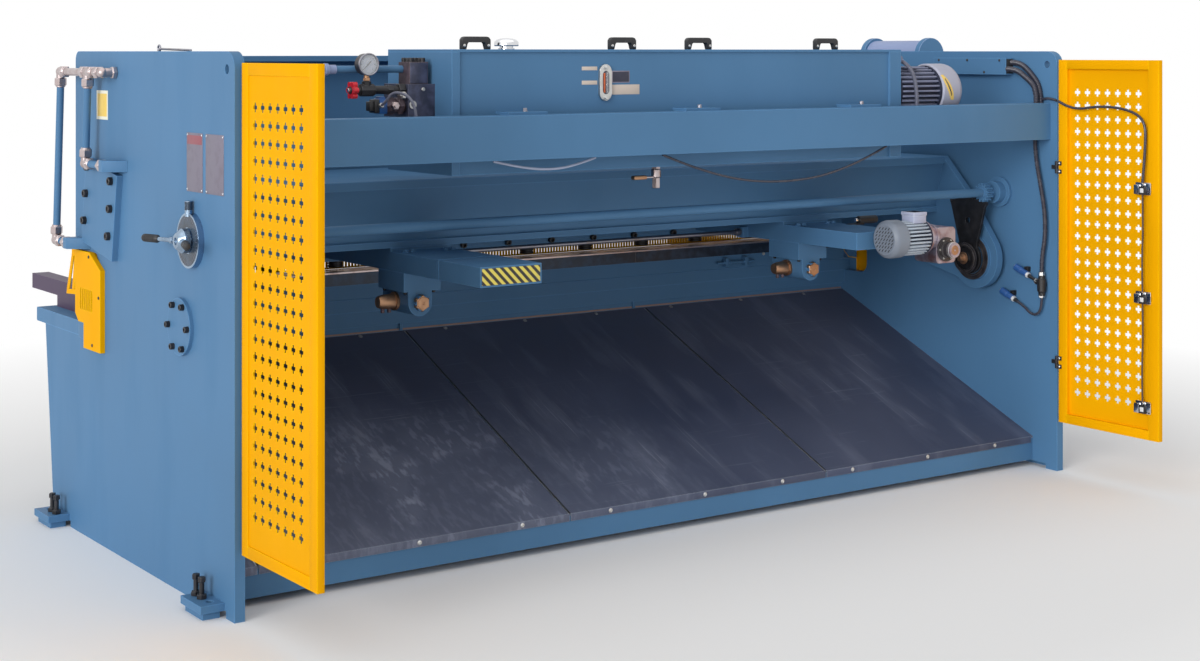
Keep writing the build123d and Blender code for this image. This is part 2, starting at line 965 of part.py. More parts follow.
# Eccentric pins with toothed sectors, and the gap shaft with its pinions
tube_rise = math.atan2(gap_tube_z - pivot_z, pivot_depth - gap_tube_depth)
centre_distance = math.hypot(gap_tube_z - pivot_z, pivot_depth - gap_tube_depth)
pinion_r = gear_module * pinion_teeth / 2
sector_r = centre_distance - pinion_r
sector_pitch = 360 * gear_module / (2 * sector_r)
half_tooth = math.pi * gear_module / 4 - tooth_play
slope = math.tan(math.radians(pressure_angle))
sector_outer_x = arm_inner - sector_inset


def tooth(radius, turn):
    """Straight-flanked gear tooth on a pitch radius, turned about the gear's centre."""
    with Locations(Location((0, 0), turn)):
        with BuildLine(mode=Mode.PRIVATE) as flank:
            Polyline(
                (radius - tooth_dedendum - gear_module, half_tooth + tooth_dedendum * slope),
                (radius - tooth_dedendum, half_tooth + tooth_dedendum * slope),
                (radius + tooth_addendum, half_tooth - tooth_addendum * slope),
                (radius + tooth_addendum, -half_tooth + tooth_addendum * slope),
                (radius - tooth_dedendum, -half_tooth - tooth_dedendum * slope),
                (radius - tooth_dedendum - gear_module, -half_tooth - tooth_dedendum * slope),
                close=True,
            )
        add(make_face(flank.edges(), mode=Mode.PRIVATE))


def pivot_plane(x):
    """Side plane at an X place, with its origin on the pivot axis."""
    return Plane(origin=(x, y_at(pivot_depth), pivot_z), x_dir=(0, 1, 0), z_dir=(1, 0, 0))


for side, sign in SIDES:
    with BuildPart() as sector:
        with BuildSketch(pivot_plane(sign * sector_outer_x)) as face:
            with BuildLine():
                Polyline(
                    (-sector_neck_half_width, 0),
                    (sector_neck_half_width, 0),
                    (sector_neck_half_width, sector_neck_rise),
                    (sector_top_half_width, sector_r),
                    (-sector_top_half_width, sector_r),
                    (-sector_neck_half_width, sector_neck_rise),
                    close=True,
                )
            make_face()
            Circle(sector_r - tooth_dedendum, mode=Mode.INTERSECT)
            Circle(sector_hub_r)
            for number in range(sector_first_tooth, sector_last_tooth + 1):
                tooth(sector_r, math.degrees(tube_rise) + (number + 0.5) * sector_pitch)
            with Locations((0, (sector_r + sector_neck_rise) / 2)):
                Circle(sector_plate, mode=Mode.SUBTRACT)
        extrude(face.sketch, amount=-sign * sector_plate)
        rod_x(*eye, pivot_pin_r, sign * sector_outer_x, sign * outer_x)
        tip_x = sector_outer_x - sector_plate
        rod_x(*eye, pivot_pin_r, sign * (tip_x - sector_plate), sign * tip_x)
        with BuildSketch(pivot_plane(sign * (tip_x - sector_plate))) as face:
            Circle(pivot_pin_r / 2)
        extrude(face.sketch, amount=-sign * sector_inset, taper=sector_inset)
    save(sector, f"gap_sector_{side}")

hub_face = outer_x + dial_thickness + seat_gap
tube_end = half_width - bearing_flange - seat_gap
with BuildPart() as gap_tube:
    rod_x(gap_tube_depth, gap_tube_z, gap_tube_r, -tube_end, hub_face)
    for side, sign in SIDES:
        middle = sign * (sector_outer_x - sector_plate / 2)
        start = Plane(
            origin=(middle - pinion_width / 2, y_at(gap_tube_depth), gap_tube_z),
            x_dir=(0, 1, 0),
            z_dir=(1, 0, 0),
        )
        with BuildSketch(start) as face:
            Circle(pinion_r - tooth_dedendum)
            for number in range(pinion_teeth):
                tooth(pinion_r, 180 + math.degrees(tube_rise) + number * 360 / pinion_teeth)
        extrude(face.sketch, amount=pinion_width)
save(gap_tube, "gap_shaft")

with BuildPart() as bearings:
    for side, sign in SIDES:
        start = half_width - bearing_length
        rod_x(gap_tube_depth, gap_tube_z, bearing_r, sign * start, sign * half_width)
        flange_start = half_width - bearing_flange
        rod_x(gap_tube_depth, gap_tube_z, bearing_flange_r, sign * flange_start, sign * half_width)
        bore_end = half_width if sign > 0 else flange_start
        rod_x(
            gap_tube_depth, gap_tube_z, gap_tube_r + run_clear, sign * start, sign * bore_end, Mode.SUBTRACT
        )
save(bearings, "shaft_bearings")

with BuildPart() as dial:
    rod_x(gap_tube_depth, gap_tube_z, dial_r, outer_x, outer_x + dial_thickness)
    knob_top = gap_tube_z + dial_r + lock_knob_height
    knob_x = outer_x + dial_thickness - lock_knob_inset
    rod_z(knob_x, gap_tube_depth, lock_knob_r, gap_tube_z + dial_r - lock_knob_r, knob_top)
    rod_x(
        gap_tube_depth, gap_tube_z, gap_tube_r + seat_gap, outer_x, outer_x + dial_thickness, Mode.SUBTRACT
    )
save(dial, "gap_dial")

with BuildPart() as handle:
    with BuildSketch(Plane.XY) as profile:
        with BuildLine():
            Polyline(
                (hub_face, 0),
                (hub_face, hub_r),
                (hub_face + hub_length - hub_cone_length, hub_r),
                (hub_face + hub_length, hub_cone_r),
                (hub_face + hub_length, 0),
                close=True,
            )
        make_face()
    hub = revolve(profile.sketch, axis=Axis.X, mode=Mode.PRIVATE)
    add(hub.moved(Location((0, y_at(gap_tube_depth), gap_tube_z))))
    out = math.sin(math.radians(lever_lean))
    along = math.cos(math.radians(lever_lean))
    for turn in lever_turns:
        way = (out, along * math.cos(math.radians(turn)), along * math.sin(math.radians(turn)))
        base = Plane(
            origin=(hub_face + hub_length / 2, y_at(gap_tube_depth), gap_tube_z), z_dir=way
        )
        with BuildSketch(base) as face:
            Circle(lever_r)
        extrude(face.sketch, amount=hub_r + lever_length)
        with BuildSketch(base.offset(hub_r + lever_length - grip_r)) as face:
            Circle(grip_r)
        extrude(face.sketch, amount=grip_length)
save(handle, "gap_handle")

# Oil tank, lid and what stands on it
tank_left_x = tank_right_x - tank_length
tank_front = tank_depth + tank_width
tank_top = tank_bottom + tank_height
tank_face = tank_depth + tank_flange_proud
with BuildPart() as tank:
    block((tank_left_x, tank_right_x), (tank_face, tank_front), (tank_bottom, tank_top))
    block((tank_right_x - tank_flange_right, tank_right_x), (tank_depth, tank_face), (tank_bottom, tank_top))
    block((tank_left_x, tank_left_x + tank_flange_left), (tank_depth, tank_face), (tank_bottom, tank_top))
save(tank, "oil_tank")

lid_top = tank_top + lid_plate
with BuildPart() as lid:
    block((tank_left_x, tank_right_x), (tank_depth, tank_front), (tank_top, lid_top))
save(lid, "tank_lid")

with BuildPart() as lid_fittings:
    for x in handle_x:
        start = x - handle_span / 2
        end = x + handle_span / 2
        span = (handle_depth - handle_width / 2, handle_depth + handle_width / 2)
        block((start, end), span, (lid_top, lid_top + handle_height))
        block(
            (start + handle_bar, end - handle_bar),
            span,
            (lid_top, lid_top + handle_height - handle_bar),
            Mode.SUBTRACT,
        )
    tops = lid_fittings.edges().filter_by(Axis.Y).group_by(Axis.Z)[-1]
    fillet(tops, handle_round)
    rod_z(breather_x, handle_depth, breather_neck_r, lid_top, lid_top + breather_neck)
    cap_z = lid_top + breather_neck
    rod_z(breather_x, handle_depth, breather_r, cap_z, cap_z + breather_height)
save(lid_fittings, "lid_fittings")

with BuildPart() as sight:
    block(
        (sight_x - sight_width / 2, sight_x + sight_width / 2),
        (tank_face - sight_plate, tank_face),
        (sight_z, sight_z + sight_height),
    )
    fillet(sight.edges().filter_by(Axis.Y), sight_round)
save(sight, "sight_glass")

with BuildPart() as tank_feet:
    for x in tank_foot_x:
        block(
            (x - tank_foot_length / 2, x + tank_foot_length / 2),
            (tank_foot_start, tank_face),
            (channel_top, channel_top + tank_foot_plate),
        )
save(tank_feet, "tank_feet")

# Valve group on the end of the tank
manifold_x = tank_right_x + manifold_width
manifold_top = manifold_z + manifold_height
with BuildPart() as manifold:
    block(
        (tank_right_x, manifold_x),
        (manifold_depth, manifold_depth + manifold_length),
        (manifold_z, manifold_top),
    )
save(manifold, "manifold_block")

valve_x = tank_right_x + valve_inset_x
valve_depth = manifold_depth + valve_inset_depth
with BuildPart() as valve:
    block(
        (valve_x, valve_x + valve_width),
        (valve_depth, valve_depth + valve_length),
        (manifold_top, manifold_top + valve_height),
    )
save(valve, "valve_block")

with BuildPart() as solenoid:
    rod_x(solenoid_depth, solenoid_z, solenoid_r, manifold_x, manifold_x + solenoid_length)
    coil_start = manifold_x + solenoid_length
    block(
        (coil_start, coil_start + coil_length),
        (solenoid_depth - coil_width / 2, solenoid_depth + coil_width / 2),
        (solenoid_z - coil_width / 2, solenoid_z + coil_width / 2),
    )
save(solenoid, "solenoid_valve")

shutoff_end = manifold_x + shutoff_length
with BuildPart() as shutoff:
    rod_x(shutoff_depth, shutoff_z, shutoff_r, manifold_x, shutoff_end)
    rod_z(gauge_x, shutoff_depth, gauge_stem_r, shutoff_z, gauge_z - gauge_r)
save(shutoff, "gauge_shutoff")

with BuildPart() as knob:
    lobe_ring_r = knob_r - knob_lobe_r
    rod_x(shutoff_depth, shutoff_z, lobe_ring_r, shutoff_end + seat_gap, shutoff_end + seat_gap + knob_width)
    for number in range(knob_lobes):
        turn = math.radians(number * 360 / knob_lobes)
        rod_x(
            shutoff_depth + lobe_ring_r * math.cos(turn),
            shutoff_z + lobe_ring_r * math.sin(turn),
            knob_lobe_r,
            shutoff_end + seat_gap,
            shutoff_end + seat_gap + knob_width,
        )
save(knob, "shutoff_knob")

gauge_face_depth = shutoff_depth - gauge_body / 2
with BuildPart() as gauge:
    rod_y(gauge_x, gauge_z, gauge_r, gauge_face_depth, gauge_face_depth + gauge_body)
    rod_y(
        gauge_x,
        gauge_z,
        gauge_r - needle_width,
        gauge_face_depth,
        gauge_face_depth + 2 * needle_width,
        Mode.SUBTRACT,
    )
    rod_y(
        gauge_x, gauge_z, needle_width, gauge_face_depth + needle_width, gauge_face_depth + 2 * needle_width
    )
save(gauge, "pressure_gauge")

with BuildPart() as needle:
    needle_depth = gauge_face_depth + needle_width - seat_gap - needle_plate
    with BuildSketch(Plane.XZ.offset(-y_at(needle_depth))) as face:
        with Locations((gauge_x, gauge_z)):
            SlotCenterToCenter(needle_reach, needle_width, rotation=needle_angle)
    extrude(face.sketch, amount=needle_plate)
save(needle, "gauge_needle")

# Pump motor on the other end of the tank
with BuildPart() as motor:
    rod_x(motor_depth, motor_z, motor_r - motor_fin_height, tank_left_x, tank_left_x - motor_length)
    middle = Plane(
        origin=(tank_left_x, y_at(motor_depth), motor_z), x_dir=(0, 1, 0), z_dir=(-1, 0, 0)
    )
    with BuildSketch(middle) as face:
        with PolarLocations(motor_r - motor_fin_height, motor_fin_count):
            Rectangle(2 * motor_fin_height, motor_fin_width)
    extrude(face.sketch, amount=motor_length)
    fan_x = tank_left_x - motor_length
    with BuildSketch(Plane.XY) as profile:
        with BuildLine():
            Polyline(
                (fan_x, 0),
                (fan_x, fan_cover_r),
                (fan_x - fan_cover_length + fan_cover_nose, fan_cover_r),
                (fan_x - fan_cover_length, fan_cover_nose_r),
                (fan_x - fan_cover_length, 0),
                close=True,
            )
        make_face()
    cover = revolve(profile.sketch, axis=Axis.X, mode=Mode.PRIVATE)
    add(cover.moved(Location((0, y_at(motor_depth), motor_z))))
save(motor, "pump_motor")

# Return accumulator on the outside of the left frame
drum_x = -outer_x - drum_out
drum_z = frame_height - drum_drop
with BuildPart() as drum:
    end = drum_rear_depth + drum_length
    rod_y(drum_x, drum_z, drum_r, drum_rear_depth, end)
    rod_y(drum_x, drum_z, drum_disc_r, drum_rear_depth, drum_rear_depth + drum_disc)
    rod_y(drum_x, drum_z, drum_disc_r, end - drum_disc, end)
    middle = (drum_rear_depth + end) / 2
    block(
        (drum_x, -outer_x),
        (middle - drum_saddle_width / 2, middle + drum_saddle_width / 2),
        (drum_z - drum_r, drum_z - drum_r / 2),
    )
save(drum, "return_accumulator")

# Hydraulic pipes and their fittings outside the frames
pipe_z = frame_height - pipe_drop
fitting_spots = (
    (pipe_entry_depth, pipe_z, True),
    (pipe_tee_depth, pipe_z, False),
    (pipe_front_depth, pipe_z, False),
    (pipe_low_depth, pipe_low_z, False),
    (pipe_low_entry, pipe_low_z, True),
    (pipe_mid_depth, pipe_mid_z, False),
    (pipe_mid_entry, pipe_mid_z, True),
)


pipe_runs = (
    ((pipe_entry_depth, pipe_z), (pipe_tee_depth, pipe_z)),
    ((pipe_tee_depth, pipe_z), (pipe_front_depth, pipe_z)),
    ((pipe_front_depth, pipe_z), (pipe_low_depth, pipe_low_z)),
    ((pipe_low_depth, pipe_low_z), (pipe_low_entry, pipe_low_z)),
    ((pipe_tee_depth, pipe_z), (pipe_mid_depth, pipe_mid_z)),
    ((pipe_mid_depth, pipe_mid_z), (pipe_mid_entry, pipe_mid_z)),
)


def beside(spot):
    """Point on the pipes' plane at a (depth, z) place."""
    return Vector(outer_x + pipe_standoff, y_at(spot[0]), spot[1])


def fitting_bodies(mode=Mode.ADD):
    """Fitting bodies on the right frame, the seated ones against its face, and their hex nuts."""
    near = outer_x + pipe_standoff - fitting_size / 2
    far = outer_x + pipe_standoff + fitting_size / 2
    half = fitting_size / 2
    for depth, z, seated in fitting_spots:
        x_span = (outer_x if seated else near, far)
        block(x_span, (depth - half, depth + half), (z - half, z + half), mode)
    for ends in pipe_runs:
        for here, there in (ends, ends[::-1]):
            with BuildSketch(Plane(origin=beside(here), z_dir=beside(there) - beside(here))) as face:
                RegularPolygon(nut_width / 2, 6, major_radius=False)
            extrude(face.sketch, amount=half + nut_length, mode=mode)


with BuildPart() as pipes:
    for start, end in pipe_runs:
        way = beside(end) - beside(start)
        with BuildSketch(Plane(origin=beside(start), z_dir=way)) as face:
            Circle(pipe_r)
        extrude(face.sketch, amount=way.length)
    fitting_bodies(Mode.SUBTRACT)
    rod_x(return_pipe_depth, return_pipe_z, return_pipe_r, valve_x + valve_width, half_width)
save(pipes, "oil_pipes")

with BuildPart() as fittings:
    fitting_bodies()
    drain_z = tank_bottom - drain_drop
    rod_z(drain_x, drain_depth, drain_r, drain_z, tank_bottom)
    block(
        (drain_x, drain_x + drain_lever),
        (drain_depth - drain_lever_width / 2, drain_depth + drain_lever_width / 2),
        (drain_z + drain_lever_rise, drain_z + drain_lever_rise + drain_lever_plate),
    )
save(fittings, "pipe_fittings")

# Sheet guards over the throat ends, open to the frame, with louvres
side_guard_rear = throat_depth - side_guard_rear_lap
side_guard_toe = table_top + side_guard_table_clear
guard_shape = [
    (head_depth - side_guard_front_lap, throat_top + side_guard_lap),
    (side_guard_rear + side_guard_corner, throat_top + side_guard_lap),
    (side_guard_rear, throat_top - side_guard_cut),
    (side_guard_rear, shoulder_z - side_guard_drop),
    (edge_depth - side_guard_notch, shoulder_z - side_guard_drop),
    (edge_depth - side_guard_notch, side_guard_toe),
    (head_depth - side_guard_toe_lap, side_guard_toe),
    (head_depth - side_guard_front_lap, side_guard_toe + side_guard_toe_cut),
]
with BuildPart() as guards:
    for side, sign in SIDES:
        with BuildSketch(Plane.YZ.offset(sign * outer_x)) as face:
            with BuildLine():
                Polyline(*[(y_at(depth), z) for depth, z in guard_shape], close=True)
            make_face()
        extrude(face.sketch, amount=sign * side_guard_box)
        with BuildSketch(Plane.YZ.offset(sign * outer_x)) as hollow:
            with BuildLine():
                Polyline(*[(y_at(depth), z) for depth, z in guard_shape], close=True)
            make_face()
            offset(amount=-side_guard_sheet, mode=Mode.REPLACE)
        extrude(hollow.sketch, amount=sign * (side_guard_box - side_guard_sheet), mode=Mode.SUBTRACT)
        for index in range(louvre_count):
            start = louvre_depth + index * louvre_pitch
            block(
                (sign * outer_x, sign * (outer_x + side_guard_box)),
                (start, start + louvre_width),
                (louvre_z, louvre_z + louvre_height),
                Mode.SUBTRACT,
            )
save(guards, "side_guards")

# Sheet support arms on feet at the front of the table
arm_top = block_top - support_arm_drop
arm_bottom = arm_top - support_arm_height
with BuildPart() as supports:
    for x, reach in zip(support_arm_x, support_arm_reach):
        x_span = (x - support_arm_width / 2, x + support_arm_width / 2)
        block(x_span, (support_arm_start, reach), (arm_bottom, arm_top))
        block(x_span, (support_foot_start, support_foot_start + support_foot_length), (table_top, arm_bottom))
save(supports, "support_arms")

# Cable duct on the left frame and the conduits that leave it
duct_z = frame_height - duct_drop
with BuildPart() as duct:
    block(
        (-half_width, -half_width + duct_width),
        (duct_start, duct_start + duct_length),
        (duct_z, duct_z + duct_height),
    )
save(duct, "cable_duct")

# Stroke switches on the left frame with their tee
switch_x = -half_width + switch_inset
switch_way = Vector(0, -math.cos(math.radians(switch_lean)), math.sin(math.radians(switch_lean)))


def switch_end(spot):
    """Cable end of a switch whose middle is at a (depth, z) place."""
    return Vector(switch_x, y_at(spot[0]), spot[1]) - switch_way * (switch_length / 2)


with BuildPart() as switches:
    for spot in switch_spots:
        with BuildSketch(Plane(origin=switch_end(spot), z_dir=switch_way)) as face:
            Circle(switch_r)
        extrude(face.sketch, amount=switch_length)
        block(
            (-half_width, switch_x),
            (spot[0] - switch_r, spot[0] + switch_r),
            (spot[1] - switch_r / 2, spot[1] + switch_r / 2),
        )
    rod_z(switch_x, tee_depth, tee_r, tee_z - tee_height / 2, tee_z + tee_height / 2)
    block(
        (-half_width, switch_x),
        (tee_depth - tee_r / 2, tee_depth + tee_r / 2),
        (tee_z - tee_r / 2, tee_z + tee_r / 2),
    )
    tee_middle = Vector(switch_x, y_at(tee_depth), tee_z)
    link = switch_end(switch_spots[0]) - tee_middle
    with BuildSketch(Plane(origin=tee_middle, z_dir=link)) as face:
        Circle(switch_link_r)
    extrude(face.sketch, amount=link.length + switch_r)
save(switches, "stroke_switches")

# Conduits from the duct to the channel, the hose to the tee and the loop to the lower switch
conduit_end = channel_depth + channel_reach / 2
hose_depth = channel_front - hose_inset
low_end = switch_end(switch_spots[1])
low_depth = rear_y - low_end.Y
tee_top = tee_z + tee_height / 2
tee_foot = tee_z - tee_height / 2
loop_end_drop = loop_end_run * math.tan(math.radians(switch_lean))
coil_x = manifold_x + solenoid_length + coil_length / 2
with BuildPart() as conduits:
    for x_in, z_in in (conduit_high, conduit_low):
        x = -half_width + x_in
        z = duct_z + z_in
        tube(
            [
                (x, duct_start, z),
                (x, duct_start - conduit_run, z),
                (x, duct_start - conduit_run - conduit_bend, (3 * z + channel_top) / 4),
                (x, conduit_end, channel_top + conduit_drop),
                (x, conduit_end, channel_top),
            ],
            conduit_r,
        )
    tube(
        [
            (switch_x, hose_depth, channel_bottom),
            *[(switch_x, hose_depth - back, channel_bottom - down) for down, back in hose_route],
            (switch_x, tee_depth, tee_top + hose_end_run),
            (switch_x, tee_depth, tee_top),
        ],
        switch_cable_r,
    )
    tube(
        [
            (switch_x, tee_depth, tee_foot),
            (switch_x, tee_depth, tee_foot - loop_run),
            (switch_x, tee_depth + loop_start, tee_foot - loop_drop),
            (switch_x, tee_depth + loop_width, tee_foot - loop_drop),
            (switch_x, low_depth - loop_end_run, low_end.Z - loop_end_drop),
            (switch_x, low_depth, low_end.Z),
        ],
        loop_r,
    )
    for wire in wire_routes:
        tube([(x, wire_depth, channel_bottom - drop) for x, drop in wire], wire_r)
    lead_x = tank_left_x - motor_lead_out
    tube(
        [
            (tank_left_x, motor_lead_start, motor_lead_z),
            (tank_left_x - motor_lead_bend, motor_lead_start, motor_lead_z),
            (lead_x, motor_lead_end, motor_lead_z - motor_lead_drop),
            (lead_x, motor_lead_end, channel_top),
        ],
        motor_lead_r,
    )
    coil_face = solenoid_depth - coil_width / 2
    arch = [(coil_x + out, coil_face + back, solenoid_z + up) for out, back, up in coil_lead_arch]
    tube(
        [
            (coil_x, coil_face, solenoid_z),
            *arch,
            (arch[-1][0], arch[-1][1], channel_top),
        ],
        coil_lead_r,
    )
save(conduits, "conduits")

# Back gauge rails under the swing beam, with slots for the screws and carriages
rail_top = gauge_arm_bottom + gauge_arm_height
slot_roof = rail_top - gauge_slot_roof
screw_z = gauge_arm_bottom + screw_rise
unit_faces = {"right": gauge_arm_left_face, "left": gauge_arm_left_face - gauge_unit_pitch}
rail_rears = {"right": gauge_arm_rear_depth, "left": gauge_drive_rear_depth}
bracket_end_x = gear_motor_end_x - gearbox_width
with BuildPart() as rails:
    for side, face_x in unit_faces.items():
        rear = rail_rears[side]
        far_x = face_x - gauge_arm_width
        slot_x = face_x - gauge_slot_offset
        block((far_x, face_x), (rear, gauge_arm_front_depth), (gauge_arm_bottom, rail_top))
        block((far_x, face_x), (beam_floor_depth, gauge_arm_front_depth), (rail_top, beam_floor_z))
        block(
            (slot_x - gauge_slot_width, slot_x),
            (rear + gauge_slot_end, gauge_arm_front_depth - gauge_slot_end),
            (gauge_arm_bottom, slot_roof),
            Mode.SUBTRACT,
        )
        rod_y(
            slot_x - gauge_slot_width / 2,
            screw_z,
            screw_journal_r + run_clear,
            rear + gauge_slot_end / 2,
            gauge_arm_front_depth - gauge_slot_end / 2,
            Mode.SUBTRACT,
        )
        inner_x = far_x if side == "right" else face_x
        boss_x = inner_x + (-cross_bearing_reach if side == "right" else cross_bearing_reach)
        block(
            (inner_x, boss_x),
            (cross_shaft_depth - cross_bearing / 2, cross_shaft_depth + cross_bearing / 2),
            (cross_shaft_z - cross_bearing / 2, cross_shaft_z + cross_bearing / 2),
        )
        rod_x(cross_shaft_depth, cross_shaft_z, cross_shaft_r + run_clear, inner_x, boss_x, Mode.SUBTRACT)
    left_far_x = unit_faces["left"] - gauge_arm_width
    block(
        (bracket_end_x, left_far_x),
        (gauge_drive_rear_depth, gauge_drive_rear_depth + gear_bracket_plate),
        (gauge_arm_bottom, rail_top),
    )
save(rails, "gauge_rails")

for side, face_x in unit_faces.items():
    screw_x = face_x - gauge_slot_offset - gauge_slot_width / 2
    start = rail_rears[side] + gauge_slot_end
    end = gauge_arm_front_depth - gauge_slot_end
    with BuildPart() as screw:
        rod_y(screw_x, screw_z, screw_r, start + seat_gap, end - seat_gap)
        rod_y(
            screw_x,
            screw_z,
            screw_journal_r,
            start - gauge_slot_end / 2 + seat_gap,
            end + gauge_slot_end / 2 - seat_gap,
        )
    save(screw, f"lead_screw_{side}")

# Gauge carriages: block, nut neck in the slot, barrel with its hex, and a stop-bar stub
carriage_top = gauge_arm_bottom - seat_gap
carriage_bottom = carriage_top - carriage_height
carriage_end = carriage_rear_depth + carriage_length
barrel_z = carriage_bottom - carriage_barrel_drop
for side, face_x in unit_faces.items():
    slot_x = face_x - gauge_slot_offset
    barrel_x = face_x - carriage_barrel_inset
    span = (carriage_rear_depth, carriage_end)
    with BuildPart() as carriage:
        block((face_x - carriage_width, face_x), span, (carriage_bottom, carriage_top))
        block(
            (slot_x - gauge_slot_width + neck_clear, slot_x - neck_clear),
            span,
            (carriage_top, slot_roof - neck_clear),
        )
        rod_y(slot_x - gauge_slot_width / 2, screw_z, screw_r + run_clear, *span, Mode.SUBTRACT)
        rod_y(barrel_x, barrel_z, carriage_barrel_r, *span)
        block(
            (barrel_x - carriage_barrel_r, barrel_x + carriage_barrel_r),
            span,
            (barrel_z, carriage_bottom),
        )
        with BuildSketch(Plane.XZ.offset(-y_at(carriage_rear_depth - hex_length))) as face:
            with Locations((barrel_x, barrel_z)):
                RegularPolygon(hex_width / 2, 6, major_radius=False)
        extrude(face.sketch, amount=hex_length)
        stub_start = barrel_x + carriage_barrel_r
        stub_plane = Plane(
            origin=(stub_start, y_at((carriage_rear_depth + carriage_end) / 2), barrel_z),
            z_dir=(1, 0, 0),
        )
        with BuildSketch(stub_plane) as face:
            Circle(stub_r)
        with BuildSketch(stub_plane.offset(stub_length)) as tip:
            Circle(stub_tip_r)
        loft(sections=[face.sketch, tip.sketch])
    save(carriage, f"gauge_carriage_{side}")

# Cross shaft that ties the two lead screws together
shaft_start = unit_faces["right"] - gauge_arm_width - seat_gap
shaft_end = unit_faces["left"] + seat_gap
collar_run = cross_bearing_reach + seat_gap
with BuildPart() as cross_shaft:
    rod_x(cross_shaft_depth, cross_shaft_z, cross_shaft_r, shaft_end, shaft_start)
    for x in (shaft_start - collar_run - cross_collar, shaft_end + collar_run):
        rod_x(cross_shaft_depth, cross_shaft_z, cross_collar_r, x, x + cross_collar)
save(cross_shaft, "cross_shaft")

# Gear motor and worm gearbox at the end of the left rail
with BuildPart() as gear_motor:
    body_end = gear_motor_end_x + gear_motor_length
    rod_x(gear_motor_depth, gear_motor_z, gear_motor_r, gear_motor_end_x, body_end)
    rod_x(gear_motor_depth, gear_motor_z, gear_fan_r, body_end, body_end + gear_fan_length)
    chamfer(gear_motor.faces().sort_by(Axis.X)[-1].edges(), gear_fan_round)
    box_middle = gear_motor_end_x + gear_motor_length / 2
    block(
        (box_middle - gear_motor_box_width / 2, box_middle + gear_motor_box_width / 2),
        (gear_motor_depth - gear_motor_box_width / 2, gear_motor_depth + gear_motor_box_width / 2),
        (gear_motor_z, gear_motor_z + gear_motor_box_rise),
    )
save(gear_motor, "gear_motor")

with BuildPart() as gearbox:
    block(
        (bracket_end_x, gear_motor_end_x),
        (gauge_drive_rear_depth - gearbox_length, gauge_drive_rear_depth),
        (gearbox_z, gearbox_z + gearbox_height),
    )
    fillet(gearbox.edges().filter_by(Axis.Y), gearbox_round)
    output_x = (bracket_end_x + gear_motor_end_x) / 2
    output_end = gauge_drive_rear_depth - gearbox_length
    rod_y(output_x, gear_output_z, gear_output_r, output_end - gear_output_length, output_end)
save(gearbox, "gearbox")

# Rear doors, perforated trays standing open, with their hinges
hinge_x = half_width - hinge_inset
hinge_y = rear_y + hinge_rise
hinge_depth = -hinge_rise
door_outer = half_width - door_inset + door_thickness
door_start = hinge_depth - door_gap
door_end = door_start - door_length
door_top = door_bottom + door_height
inner_face = door_outer - door_thickness
latch_end = door_end + latch_inset
latch_z = [door_bottom + height for height in latch_heights]
hinge_z = [door_bottom + height for height in hinge_heights]
hole_columns = int((door_length - hole_near_margin - hole_far_margin) // hole_pitch_y) + 1
hole_rows = int((door_height - 2 * hole_end_margin) // hole_pitch_z) + 1
with BuildPart() as door:
    block((inner_face, door_outer), (door_end, door_start), (door_bottom, door_top))
    block(
        (inner_face, door_outer),
        (door_end + door_end_border, door_start - door_hinge_border),
        (door_bottom + door_border, door_top - door_border),
        Mode.SUBTRACT,
    )
    for z in latch_z:
        block(
            (inner_face - latch_thickness, inner_face),
            (latch_end, latch_end + latch_width),
            (z - latch_height / 2, z + latch_height / 2),
        )
    for z in hinge_z:
        for way in (-1, 1):
            near = z + way * (hinge_knuckle / 2 + hinge_play)
            far = near + way * hinge_knuckle
            rod_z(hinge_x, hinge_depth, hinge_r, near, far)
            block(
                (inner_face - hinge_leaf, inner_face),
                (hinge_depth - hinge_leaf_length, hinge_depth),
                (min(near, far), max(near, far)),
            )
    with BuildSketch(Plane.YZ.offset(door_outer - door_sheet)) as sheet:
        with Locations((y_at((door_start + door_end) / 2), (door_bottom + door_top) / 2)):
            Rectangle(door_length - 2 * door_sheet, door_height - 2 * door_sheet)
        hole_middle_y = y_at(door_start) + hole_near_margin + (hole_columns - 1) * hole_pitch_y / 2
        hole_middle_z = door_bottom + hole_end_margin + (hole_rows - 1) * hole_pitch_z / 2
        with Locations((hole_middle_y, hole_middle_z)):
            with GridLocations(hole_pitch_y, hole_pitch_z, hole_columns, hole_rows):
                Rectangle(hole_size / math.sqrt(2), hole_size / math.sqrt(2), rotation=45, mode=Mode.SUBTRACT)
    extrude(sheet.sketch, amount=door_sheet)
save(door, "door_right")

with BuildPart() as other_door:
    add(mirror(door.part, about=Plane.YZ, mode=Mode.PRIVATE))
save(other_door, "door_left")

# Lead to the door switches, clipped to the left door
lead_x = -(inner_face - door_cable_r - seat_gap)
lead_depth = latch_end + latch_width / 2
lead_z = door_top - lead_drop
with BuildPart() as door_lead:
    tube(
        [
            (lead_x, door_start - lead_start, lead_z),
            *[(lead_x, door_start - back, lead_z + up) for back, up in lead_route],
            *[(lead_x, lead_depth + back, lead_z + up) for back, up in lead_bend],
            (lead_x, lead_depth, latch_z[-1] + latch_height / 2),
        ],
        door_cable_r,
    )
    for lower, upper in zip(latch_z, latch_z[1:]):
        rod_z(lead_x, lead_depth, door_cable_r, lower + latch_height / 2, upper - latch_height / 2)
save(door_lead, "door_lead")

with BuildPart() as hinges:
    for side, sign in SIDES:
        for z in hinge_z:
            z_span = (z - hinge_knuckle / 2, z + hinge_knuckle / 2)
            rod_z(sign * hinge_x, hinge_depth, hinge_r, *z_span)
            block(
                (sign * (half_width - hinge_leaf), sign * half_width),
                (hinge_depth, hinge_leaf_length),
                z_span,
            )
save(hinges, "hinge_leaves")
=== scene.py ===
"""Looks of a hydraulic guillotine shear seen from the rear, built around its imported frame."""

import json
import logging
import math
from dataclasses import dataclass
from enum import Enum
from typing import Any, Iterable, Mapping, Sequence

